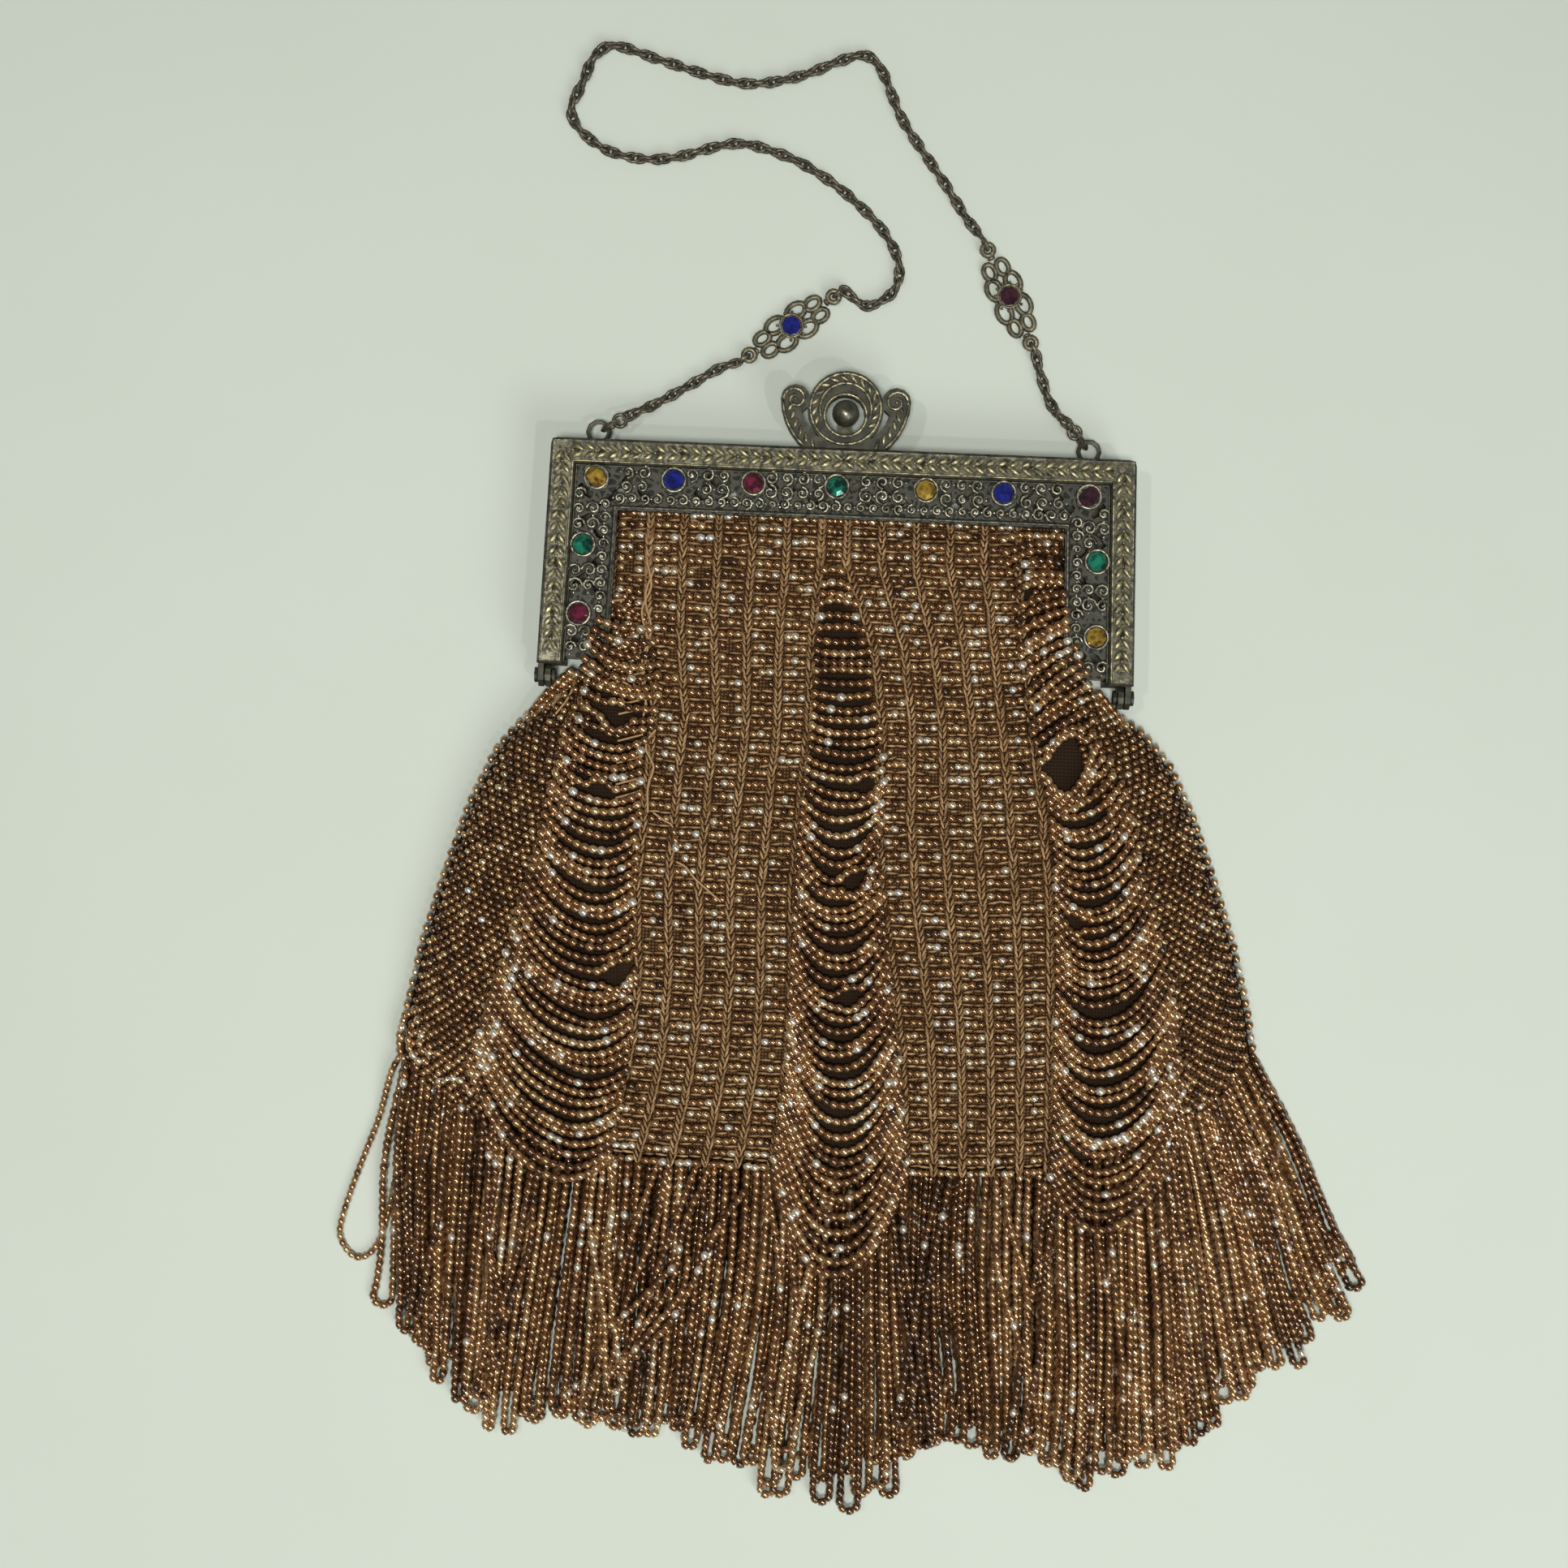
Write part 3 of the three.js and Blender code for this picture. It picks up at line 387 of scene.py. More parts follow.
lamps = {
    "overhead": ("AREA", (-0.06, -0.16, 1.2), (-0.02, -0.02, 0), 9.8, 0.18, (1.0, 0.98, 0.93)),
    "window": ("AREA", (0.8, -1.0, 1.1), (0.2, -0.4, 0), 11.5, 0.8, (0.95, 1.0, 0.98)),
    "sparkleLeft": ("POINT", (-0.34, 0.1, 0.95), (0, 0, 0), 5.0, 0.012, (1.0, 0.97, 0.9)),
    "sparkleRight": ("POINT", (0.3, -0.34, 0.95), (0, 0, 0), 5.1, 0.012, (1.0, 0.97, 0.9)),
}
for lampName, lampSettings in lamps.items():
    addLamp(lampName, *lampSettings)
world = bpy.data.worlds.new("paleRoom")
world.use_nodes = True
world.node_tree.nodes["Background"].inputs["Color"].default_value = (0.9, 0.97, 0.92, 1)
world.node_tree.nodes["Background"].inputs["Strength"].default_value = 0.15
bpy.context.scene.world = world
print("stage set")


# A template: points and faces, for copies
def shapeOf(shape):
    bmesh.ops.recalc_face_normals(shape, faces=shape.faces)
    shape.verts.index_update()
    points = np.array([tuple(vert.co) for vert in shape.verts])
    faces = [[vert.index for vert in face.verts] for face in shape.faces]
    shape.free()
    return points, faces


# A seed bead is a short barrel with a flat hole end: half of it is a cone, mirrored
def beadShape(sides, waist):
    shape = bmesh.new()
    bmesh.ops.create_cone(
        shape, cap_ends=False, segments=sides, radius1=waist / 2, radius2=0.5, depth=0.5
    )
    bmesh.ops.translate(shape, verts=shape.verts, vec=(0, 0, -0.25))
    everything = shape.verts[:] + shape.edges[:] + shape.faces[:]
    bmesh.ops.mirror(shape, geom=everything, axis="Z", merge_dist=0.001)
    bmesh.ops.holes_fill(shape, edges=shape.edges, sides=sides)
    bmesh.ops.remove_doubles(shape, verts=shape.verts, dist=0.0001)
    return shapeOf(shape)


beadTemplate = beadShape(6, 0.72)
plainBead = beadShape(4, 0.8)
stitchTemplate = beadShape(4, 0.45)


# Shades of many beads, spread round a middle one
def shadesOf(middle, spread, count):
    return np.clip(middle + spread * chance.normal(0, 1, count), 0, 1)


def setShade(mesh, values):
    layer = mesh.attributes.new("shade", "FLOAT", "POINT")
    layer.data.foreach_set("value", values.astype(np.float32))


def unit(vectors):
    return vectors / np.maximum(np.linalg.norm(vectors, axis=-1, keepdims=True), 1e-9)


# Copies one small shape to many spots, as one joined mesh. axis is the way each one's hole points.
def strew(name, template, at, axis, width, length, shade, material, smooth=True):
    points, faces = template
    count = len(at)
    spin = chance.uniform(0, math.tau, (count, 1))
    along = unit(axis)
    helper = np.where(np.abs(along[:, 2:3]) < 0.9, [[0.0, 0.0, 1.0]], [[1.0, 0.0, 0.0]])
    side = unit(np.cross(helper, along))
    over = np.cross(along, side)
    across = side * np.cos(spin) + over * np.sin(spin)
    other = np.cross(along, across)
    wide = np.broadcast_to(width, (count,))[:, None, None]
    long = np.broadcast_to(length, (count,))[:, None, None]
    verts = (
        np.asarray(at)[:, None]
        + points[None, :, 0:1] * across[:, None] * wide
        + points[None, :, 1:2] * other[:, None] * wide
        + points[None, :, 2:3] * along[:, None] * long
    )
    allFaces = [[i + step * len(points) for i in face] for step in range(count) for face in faces]
    mesh = bpy.data.meshes.new(name)
    mesh.from_pydata(metres(verts.reshape(-1, 3)), [], allFaces)
    setShade(mesh, np.repeat(np.broadcast_to(shade, (count,)), len(points)))
    return addMesh(name, mesh, material, smooth)


# Round wires or threads along lines of points
def wires(name, lines, radius, material, closed=False, sides=1, shade=0.8):
    curve = bpy.data.curves.new(name, "CURVE")
    curve.dimensions = "3D"
    curve.bevel_depth = radius / 1000
    curve.bevel_resolution = sides
    curve.use_fill_caps = True
    for line in lines:
        points = metres(line)
        spline = curve.splines.new("POLY")
        spline.points.add(len(points) - 1)
        spline.points.foreach_set("co", np.column_stack([points, np.ones(len(points))]).ravel())
        spline.use_cyclic_u = closed
    holder = bpy.data.objects.new(name, curve)
    mesh = bpy.data.meshes.new_from_object(holder)
    bpy.data.objects.remove(holder)
    bpy.data.curves.remove(curve)
    mesh.name = name
    setShade(mesh, np.full(len(mesh.vertices), shade))
    mesh.materials.clear()
    return addMesh(name, mesh, material)


def circleLine(x, y, z, radius, count=20, begin=0.0, end=360.0):
    angles = np.radians(np.linspace(begin, end, count))
    return np.stack([x + radius * np.cos(angles), y + radius * np.sin(angles), np.full(count, z)], axis=1)


# A curl: a line that winds in towards its middle
def curlLine(x, y, z, radius, begin, turns, count=11):
    t = np.linspace(0, 1, count)
    angles = math.radians(begin) + turns * math.tau * t
    reach = radius * (1 - 0.72 * t)
    return np.stack([x + reach * np.cos(angles), y + reach * np.sin(angles), np.full(count, z)], axis=1)


# The bag's skin
bag = {
    "riseLeft": 21,
    "riseRight": 28,
    "riseCurve": 4.5,
    "lean": 1.7,
    "columns": 72,
    "rowCount": 96,
    "wall": 0.8,
    # how far the ground lies under the beads' own skin
    "insetFront": 0.55,
    "insetBack": -0.9,
    # down from the frame's top, half width, share of the rise, height of front, back and side edge
    "rows": [
        (12.0, 50.5, 0.0, 10.0, 3.0, 6.5),
        (15.6, 50.5, 0.0, 10.0, 3.0, 6.5),
        (20.0, 50.5, 0.02, 12.2, 1.2, 6.5),
        (29.5, 50.5, 0.06, 13.1, 0.6, 6.5),
        (39.6, 50.5, 0.11, 13.3, 0.4, 6.5),
        (50.1, 51.8, 0.17, 13.0, 0.15, 5.9),
        (56.0, 55.9, 0.2, 13.2, 0.15, 5.0),
        (60.9, 61.1, 0.21, 13.3, 0.15, 4.3),
        (67.0, 67.6, 0.29, 13.6, 0.15, 3.9),
        (76.0, 73.8, 0.36, 14.0, 0.15, 3.5),
        (90.0, 79.4, 0.45, 14.0, 0.15, 3.2),
        (108.0, 84.6, 0.57, 13.7, 0.15, 3.1),
        (126.0, 89.0, 0.72, 12.6, 0.15, 3.1),
        (144.0, 92.2, 0.87, 9.8, 0.15, 3.1),
        (157.5, 93.7, 1.0, 6.4, 0.15, 3.1),
    ],
}
bagRows = np.array(bag["rows"])
hemDown = bagRows[-1, 0]


def rowValue(down, column):
    return np.interp(down, bagRows[:, 0], bagRows[:, column])


def leanAt(down):
    return bag["lean"] * np.clip((down - 49) / 108.5, 0, 1)


# A point of the skin: down is the row, s runs from -1 at the left edge to 1 at the right one
def onBag(down, s, back=False):
    down, s = np.broadcast_arrays(np.asarray(down, dtype=float), np.asarray(s, dtype=float))
    full = np.clip(1 - np.abs(s) ** 4, 0, 1) ** 0.45
    edge = rowValue(down, 5)
    skin = rowValue(down, 4 if back else 3)
    rise = np.where(s < 0, bag["riseLeft"], bag["riseRight"]) * rowValue(down, 2)
    x = leanAt(down) + s * rowValue(down, 1)
    y = -down + rise * np.abs(s) ** bag["riseCurve"]
    return np.stack([x, y, edge + (skin - edge) * full], axis=-1)


def atX(down, x, back=False):
    s = np.clip((np.asarray(x) - leanAt(down)) / rowValue(down, 1), -1, 1)
    return onBag(down, s, back)


# The way a row of stitches runs, and the way the skin faces, at each of many points
def skinFrame(down, x, back=False):
    here = atX(down, x, back)
    row = unit(atX(down, np.asarray(x) + 0.5, back) - atX(down, np.asarray(x) - 0.5, back))
    slope = unit(atX(np.asarray(down) - 0.5, x, back) - atX(np.asarray(down) + 0.5, x, back))
    out = unit(np.cross(row, slope))
    return here, row, out * (-1 if back else 1)


# A line's length up to each of its points, and the spots at given lengths along it
def lengthsOf(line):
    return np.concatenate([[0], np.cumsum(np.linalg.norm(np.diff(line, axis=0), axis=1))])


def pointsAt(line, length, marks):
    return np.stack([np.interp(marks, length, line[:, k]) for k in range(3)], axis=1)


# Beads threaded one after another along a line of points
def threaded(line, pitch):
    line = np.asarray(line, dtype=float)
    length = lengthsOf(line)
    marks = np.arange(pitch / 2, max(length[-1], pitch), pitch)
    ahead = pointsAt(line, length, marks + pitch / 3)
    behind = pointsAt(line, length, marks - pitch / 3)
    return pointsAt(line, length, marks), ahead - behind


# Beads of many strands as one mesh. A share of them is painted near white, as painted glints.
def strandBeads(name, template, look, strands):
    ats, axes, shades = (np.concatenate(part) for part in zip(*strands))
    ats[:, 2] = np.maximum(ats[:, 2], look["bead"] / 2 + 0.12)
    shades[chance.uniform(0, 1, len(shades)) > 1 - look["clear"]] = 0.98
    return strew(
        name, template, ats, axes + look["tilt"] * chance.normal(0, 1, axes.shape),
        look["bead"] * (1 + 0.05 * chance.normal(0, 1, len(ats))), look["pitch"] * look["fill"],
        shades, strandGlass,
    )


# How dark or pale one whole strand is
def toneOf(look, middle):
    return middle + np.clip(look["toneSpread"] * chance.normal(), *look["toneRange"])


# Swags: at shares of the way to the hem their left and right ends, their sag, and how much higher than
# the row the left end starts. At the lower arms they bulge over the frame's band.
swags = {
    "bead": 2.1,
    "pitch": 1.9,
    "spacing": 2.3,
    "top": 12.0,
    "height": 145.5,
    "sag": 21.0,
    "lift": 0.95,
    "onBand": 13.3,
    "tone": 0.49,
    "toneSpread": 0.13,
    "toneRange": (-0.2, 0.16),
    "beadSpread": 0.16,
    # share of the beads painted near white, as painted glints
    "clear": 0.05,
    "tilt": 0.1,
    "fill": 0.96,
    "columns": {
        "swags_left": [
            (0.2, -1.03, -0.8, 0.08, 0.0), (0.26, -1.06, -0.73, 0.12, 0.0), (0.33, -0.93, -0.64, 0.12, 0.4),
            (0.43, -0.83, -0.56, 0.2, 1.0), (0.55, -0.8, -0.52, 0.28, 2.0), (0.75, -0.81, -0.47, 0.4, 5.1),
            (0.9, -0.83, -0.47, 0.5, 8.7), (1.0, -0.85, -0.5, 0.63, 12.0),
        ],
        "swags_centre": [
            (0.1, -0.08, 0.02, -0.02, 0.0), (0.23, -0.1, 0.16, 0.0, 0.0), (0.35, -0.09, 0.17, 0.12, 0.0),
            (0.5, -0.095, 0.135, 0.34, 0.0), (0.65, -0.095, 0.15, 0.45, 0.0),
            (0.85, -0.095, 0.185, 0.76, 0.0), (1.0, -0.12, 0.2, 1.2, 0.0),
        ],
        "swags_right": [
            (0.03, 0.68, 0.94, -0.03, -1.6), (0.14, 0.75, 0.97, -0.05, -3.1),
            (0.17, 0.77, 1.0, -0.06, -4.4), (0.25, 0.773, 1.03, -0.06, -5.9),
            (0.28, 0.713, 1.02, -0.05, -6.0), (0.32, 0.674, 0.95, 0.0, -4.5),
            (0.37, 0.635, 0.87, 0.12, -4.5), (0.42, 0.63, 0.86, 0.2, -2.5),
            (0.6, 0.59, 0.84, 0.4, 0.0), (0.8, 0.55, 0.85, 0.54, 0.0), (1.0, 0.53, 0.84, 0.82, 0.0),
        ],
    },
    # places where the loops have parted: x, y, how far, and half the width
    "gaps": [
        (7.5, -72.8, 1.8, 2.9), (5.7, -93.7, 2.2, 3.5), (5.8, -118.6, 2.0, 3.2),
        (51.3, -67.2, 5.8, 5.6), (-44.2, -116.2, 2.6, 4.2), (-47.0, -60.5, 2.6, 3.8),
        (54.0, -101.0, 1.8, 2.9), (-50.0, -75.5, 1.8, 2.9),
    ],
}


def swagEnds(rows, down):
    share = (down - swags["top"]) / swags["height"]
    table = np.array(rows)
    left, right, sag, raised = (np.interp(share, table[:, 0], table[:, k]) for k in range(1, 5))
    return left, right, sag * swags["sag"], raised


# Is a point of the skin under a swag? 1 in the middle of a column, 0 outside it
def underSwag(down, s):
    cover = np.zeros(np.broadcast(down, s).shape)
    for rows in swags["columns"].values():
        left, right, _, _ = swagEnds(rows, down)
        started = np.clip((down - swags["top"] - rows[0][0] * swags["height"]) / 5, 0, 1)
        inside = np.clip(np.minimum(s - left, right - s) / 0.03, 0, 1)
        cover = np.maximum(cover, inside * started)
    return cover


# The knitted ground: one grid for the front and one for the back, joined along the sides and the hem
def groundSheet(shape, back):
    knit = shape.loops.layers.uv["knit"]
    shaded = shape.verts.layers.float["shaded"]
    made = bmesh.ops.create_grid(shape, x_segments=bag["columns"], y_segments=bag["rowCount"], size=1)
    spots = np.array([tuple(vert.co) for vert in made["verts"]])
    s = spots[:, 0]
    share = (1 - spots[:, 1]) / 2
    down = bagRows[0, 0] + share * (hemDown - bagRows[0, 0])
    points = onBag(down, s, back)
    middle = (rowValue(down, 3) + rowValue(down, 4)) / 2
    closing = np.clip((share - 0.985) / 0.015, 0, 1)
    points[:, 2] -= bag["insetBack"] if back else bag["insetFront"]
    points[:, 2] = points[:, 2] * (1 - closing) + middle * closing
    side = np.abs(s) > 0.9999
    points[side, 2] = rowValue(down[side], 5)
    cover = np.zeros(len(s)) if back else underSwag(down, s)
    for vert, point, dark in zip(made["verts"], points, cover):
        vert.co = point
        vert[shaded] = dark
    for face in {face for vert in made["verts"] for face in vert.link_faces}:
        for loop in face.loops:
            loop[knit].uv = (loop.vert.co.x, loop.vert.co.y)
        if back:
            face.normal_flip()


ground = bmesh.new()
ground.loops.layers.uv.new("knit")
ground.verts.layers.float.new("shaded")
groundSheet(ground, False)
groundSheet(ground, True)
bmesh.ops.remove_doubles(ground, verts=ground.verts, dist=0.02)
for vert in ground.verts:
    vert.co = metres(vert.co)
bagGround = fromBmesh("bagGround", ground, groundKnit)
wallThickness = bagGround.modifiers.new("wall", "SOLIDIFY")
wallThickness.thickness = bag["wall"] / 1000
wallThickness.offset = -1
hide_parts("bag")
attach(bagGround, "root")
print("bag ground made:", len(bagGround.data.polygons), "faces")

# Knit of the front: groups of three beads between ribs of plain stitches. A row of beads and a row of
# thread take turns.
knit = {
    "bead": 1.76,
    "rib": 1.95,
    "perGroup": 3,
    "thread": 0.66,
    # rows lie closer near the frame
    "rowPitch": ((12, 1.27), (40, 1.3), (65, 1.38), (157, 1.4)),
    # down, left edge, right edge of each panel, and how many groups it has
    "panels": {
        "left": (5, [
            (12, -41.5, -4), (25, -41.5, -4.2), (41, -41, -5.3), (60, -38.8, -5.4), (79, -40, -6.5),
            (97, -41, -7.5), (115, -39.9, -6.8), (133, -41, -7), (147, -43.8, -8.2), (158, -46.5, -9.5),
        ]),
        "right": (5, [
            (12, 1.5, 38.7), (25, 1.5, 38.7), (43, 8.1, 40.6), (60, 10.6, 43), (79, 10.4, 46),
            (97, 12, 48.2), (115, 15.4, 49.3), (132, 17.9, 50), (149, 19.5, 50.7), (158, 20, 51.1),
        ]),
        "middle": (1, [(12, -4, 1.5), (27, -4.2, 1.5)]),
        "shoulderLeft": (1, [(12, -49.5, -41.5), (40, -49.5, -41.2), (56, -51.5, -43)]),
        "shoulderRight": (1, [(12, 38.7, 49.5), (27, 38.7, 49.5)]),
    },
}
rowPitch = np.array(knit["rowPitch"])
rowDowns = [13.0]
while rowDowns[-1] < hemDown - 1.2:
    rowDowns.append(rowDowns[-1] + float(np.interp(rowDowns[-1], rowPitch[:, 0], rowPitch[:, 1])))
rowDowns = np.array(rowDowns)

beadSpots = []
dashSpots = []
stitchSpots = []
for groups, edges in knit["panels"].values():
    edges = np.array(edges, dtype=float)
    for rowNumber, down in enumerate(rowDowns):
        if down > edges[-1, 0]:
            break
        left = np.interp(down, edges[:, 0], edges[:, 1])
        right = np.interp(down, edges[:, 0], edges[:, 2])
        step = (right - left) / groups
        for group in range(groups):
            start = left + group * step + knit["rib"] / 2
            room = step - knit["rib"]
            if rowNumber % 2:
                half = room / 2
                dashSpots.extend((down, start + (k + 0.5) * half, half) for k in range(2))
            else:
                each = room / knit["perGroup"]
                beadSpots.extend((down, start + (k + 0.5) * each, each) for k in range(knit["perGroup"]))
            stitchSpots.append((down, left + group * step, knit["rib"]))
        stitchSpots.append((down, right, knit["rib"]))

beadSpots = np.array(beadSpots)
beadCount = len(beadSpots)
wobble = chance.normal(0, 1, (beadCount, 3))
spot, row, out = skinFrame(beadSpots[:, 0] + 0.1 * wobble[:, 0], beadSpots[:, 1] + 0.08 * wobble[:, 1])
keep = chance.uniform(0, 1, beadCount) > 0.03
shade = shadesOf(0.55, 0.24, beadCount)
# about one bead in ten is painted pale cream, as a painted glint
shade[chance.uniform(0, 1, beadCount) > 0.9] = 0.94
size = knit["bead"] * (1 + 0.07 * wobble[:, 2])
long = np.minimum(size * 1.05, beadSpots[:, 2] * 0.97)
spot = spot + out * (0.3 + 0.08 * wobble[:, 2:3])
axis = row + 0.16 * wobble
knitBeads = strew(
    "knitBeads", beadTemplate, spot[keep], axis[keep], size[keep], long[keep], shade[keep], knitGlass,
)
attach(knitBeads, "root")
print("knitted beads:", int(keep.sum()))

# Thread: short strands between the rows of beads, and ribs whose stitches are a V of two strands
dashSpots = np.array(dashSpots)
wobble = chance.normal(0, 1, (len(dashSpots), 3))
spot, row, out = skinFrame(dashSpots[:, 0] + 0.1 * wobble[:, 0], dashSpots[:, 1] + 0.12 * wobble[:, 1])
half = dashSpots[:, 2:] * chance.uniform(0.26, 0.46, (len(dashSpots), 1))
threadStarts = [spot + out * 0.05 - (row + 0.08 * wobble) * half]
threadEnds = [spot + out * 0.05 + (row + 0.08 * wobble) * half]
down, x, width = np.array(stitchSpots).T
pitch = np.interp(down, rowPitch[:, 0], rowPitch[:, 1])
down = down + 0.12 * chance.normal(0, 1, len(down))
x = x + 0.12 * chance.normal(0, 1, len(down))
for side in (-1, 1):
    outer, _, outerOut = skinFrame(down - 0.6 * pitch, x + side * width * 0.4)
    inner, _, innerOut = skinFrame(down + 0.55 * pitch, x + side * width * 0.1)
    threadStarts.append(outer + outerOut * 0.12)
    threadEnds.append(inner + innerOut * 0.26)
threadStarts = np.concatenate(threadStarts)
threadEnds = np.concatenate(threadEnds)
threadRun = threadEnds - threadStarts
knitThreads = strew(
    "knitThreads", stitchTemplate, (threadStarts + threadEnds) / 2, threadRun, knit["thread"],
    np.linalg.norm(threadRun, axis=1) * 1.2, shadesOf(0.45, 0.28, len(threadRun)), stitchSilk,
)
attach(knitThreads, "root")
print("strands of thread:", len(threadRun))

# Gores at both sides: staggered round beads with hardly any thread between them
gores = {
    "bead": 1.62,
    "pitch": 1.75,
    "rowPitch": 1.55,
    "from": {"left": 35, "right": 21},
    "left": [
        (34, -44), (41.7, -42), (52, -44), (59.8, -52), (70.5, -54), (90.2, -59), (104.6, -65.1),
        (122.6, -69.7), (158, -74),
    ],
    "right": [
        (20, 43), (27, 42), (46.3, 42), (56, 46), (62.1, 52), (76.2, 59), (90.3, 64), (107.8, 70.5),
        (123.7, 78), (158, 80),
    ],
}
goreSpots = []
for side, sideName in ((-1, "left"), (1, "right")):
    edges = np.array(gores[sideName])
    for number, goreDown in enumerate(np.arange(gores["from"][sideName], hemDown - 0.5, gores["rowPitch"])):
        inner = float(np.interp(goreDown, edges[:, 0], edges[:, 1]))
        outer = float(leanAt(goreDown)) + side * float(rowValue(goreDown, 1)) * 0.985
        run = abs(outer - inner)
        for k in range(int(run / gores["pitch"]) + 1):
            x = outer + math.copysign(1, inner - outer) * (k + 0.5 * (number % 2)) * gores["pitch"]
            goreSpots.append((goreDown, x))
goreSpots = np.array(goreSpots)
goreCount = len(goreSpots)
wobble = chance.normal(0, 1, (goreCount, 3))
spot, row, out = skinFrame(goreSpots[:, 0] + 0.1 * wobble[:, 0], goreSpots[:, 1] + 0.1 * wobble[:, 1])
goreBeads = strew(
    "goreBeads", beadTemplate, spot + out * 0.3, row + 0.25 * wobble,
    gores["bead"] * (1 + 0.06 * wobble[:, 0]), gores["bead"] * 0.9, shadesOf(0.42, 0.2, goreCount), knitGlass,
)
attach(goreBeads, "root")
print("gore beads:", goreCount)

# A picot of clear round beads stands out along each side seam
picot = {"bead": 1.9, "pitch": 2.5, "out": 0.7}
picotPoints = []
for side in (-1, 1):
    seam = onBag(np.linspace(47, hemDown, 400), side * np.ones(400))
    length = lengthsOf(seam)
    line = pointsAt(seam, length, np.arange(1, length[-1], picot["pitch"]))
    line[:, 0] += side * picot["out"]
    picotPoints.append(line)
picotPoints = np.concatenate(picotPoints)
picotBeads = strew(
    "picotBeads", beadTemplate, picotPoints, chance.normal(0, 1, picotPoints.shape) * 0.3 + [0, 1, 0],
    picot["bead"], picot["bead"] * 0.9, shadesOf(0.66, 0.12, len(picotPoints)), knitGlass,
)
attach(picotBeads, "root")

# The plain knitted back, seen only when the purse is turned over
plainBack = {"bead": 1.5, "pitch": 2.1, "rowPitch": 2.3, "in": 0.55, "low": 0.8}
backSpots = []
for number, backDown in enumerate(np.arange(18, hemDown - 1, plainBack["rowPitch"])):
    reach = float(rowValue(backDown, 1)) * 0.97
    for x in np.arange(-reach, reach, plainBack["pitch"]):
        backSpots.append((backDown, x + leanAt(backDown) + plainBack["pitch"] / 2 * (number % 2)))
backSpots = np.array(backSpots)
spot, row, out = skinFrame(backSpots[:, 0], backSpots[:, 1], back=True)
spot[:, 2] = np.maximum(spot[:, 2] + plainBack["in"], plainBack["low"])
backBeads = strew(
    "backBeads", plainBead, spot, row, plainBack["bead"], plainBack["bead"],
    shadesOf(0.42, 0.18, len(backSpots)), knitGlass,
)
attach(backBeads, "root")
print("back beads:", len(backSpots))


def rough(x, y, seed):
    return noise.noise(Vector((x, y, seed)))


# Height of the bag's front, or past the hem of the fringe, under a point seen from above
def restHeight(x, y):
    down = -np.asarray(y, dtype=float)
    for _ in range(3):
        s = np.clip((x - leanAt(down)) / rowValue(down, 1), -1, 1)
        rise = np.where(s < 0, bag["riseLeft"], bag["riseRight"]) * rowValue(down, 2)
        down = -y + rise * np.abs(s) ** bag["riseCurve"]
    return atX(down, x)[..., 2]


# Beads that bulge over the lower arms of the frame rise on to its band
def overBand(x, y, z):
    past = np.abs(x) - (46.7 - 0.026 * np.asarray(y))
    there = np.clip(past / 3 + 0.8, 0, 1) * np.clip((y + 52) / 3, 0, 1)
    return z + (np.maximum(z, swags["onBand"]) - z) * there


for columnNumber, (nodeName, rows) in enumerate(swags["columns"].items()):
    strands = []
    first = swags["top"] + rows[0][0] * swags["height"]
    for number, loopDown in enumerate(np.arange(first + 1, hemDown + 0.5, swags["spacing"])):
        left, right, sag, raised = swagEnds(rows, loopDown)
        jitter = chance.normal(0, 1, 4)
        a = onBag(loopDown + 0.25 * jitter[0] - raised, left)
        b = onBag(loopDown + 0.25 * jitter[1], right)
        t = np.linspace(0, 1, 60)
        shape = 1 - np.abs(2 * t - 1) ** 2.3
        lean = 0.06 * rough(number * 0.31, columnNumber, 3.1)
        bend = sag * (1 + 0.015 * jitter[2]) + 1.5 * rough(number * 0.22, 7 + columnNumber, 1.7)
        bend += 0.22 * jitter[2]
        x = a[0] + (b[0] - a[0]) * (t + lean * np.sin(math.pi * t))
        y = a[1] + (b[1] - a[1]) * t - bend * shape
        y = y + 0.35 * np.array([rough(3 * k, number * 0.8, 5.5 + columnNumber) for k in t])
        for gapX, gapY, gapReach, gapHalf in swags["gaps"]:
            near = np.clip(1 - ((x - gapX) / gapHalf) ** 2, 0, 1)
            side = 1 if np.interp(gapX, x, y) > gapY else -1
            off = np.clip((y - gapY) * side, 0, None)
            y = y + side * np.clip(gapReach * near - off * 0.6, 0, None)
        z = restHeight(x, y) + swags["lift"] + 0.35 * shape + 0.25 * jitter[3] * shape
        at, axis = threaded(np.stack([x, y, overBand(x, y, z)], axis=1), swags["pitch"])
        strands.append((at, axis, shadesOf(toneOf(swags, swags["tone"]), swags["beadSpread"], len(at))))
    swagBeads = strandBeads(nodeName.replace("_", "") + "Beads", beadTemplate, swags, strands)
    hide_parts(nodeName)
    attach(swagBeads, "root")
    print(nodeName, "beads:", sum(len(at) for at, _, _ in strands))


# A smooth line through a few points
def smoothLine(points, steps=12):
    points = np.asarray(points, dtype=float)
    padded = np.concatenate([[2 * points[0] - points[1]], points, [2 * points[-1] - points[-2]]])
    out = []
    for k in range(1, len(padded) - 2):
        a, b, c, d = padded[k - 1 : k + 3]
        for t in np.linspace(0, 1, steps, endpoint=False):
            twice = 2 * b + (c - a) * t + (2 * a - 5 * b + 4 * c - d) * t**2
            twice += (3 * b - a - 3 * c + d) * t**3
            out.append(0.5 * twice)
    out.append(points[-1])
    return np.array(out)


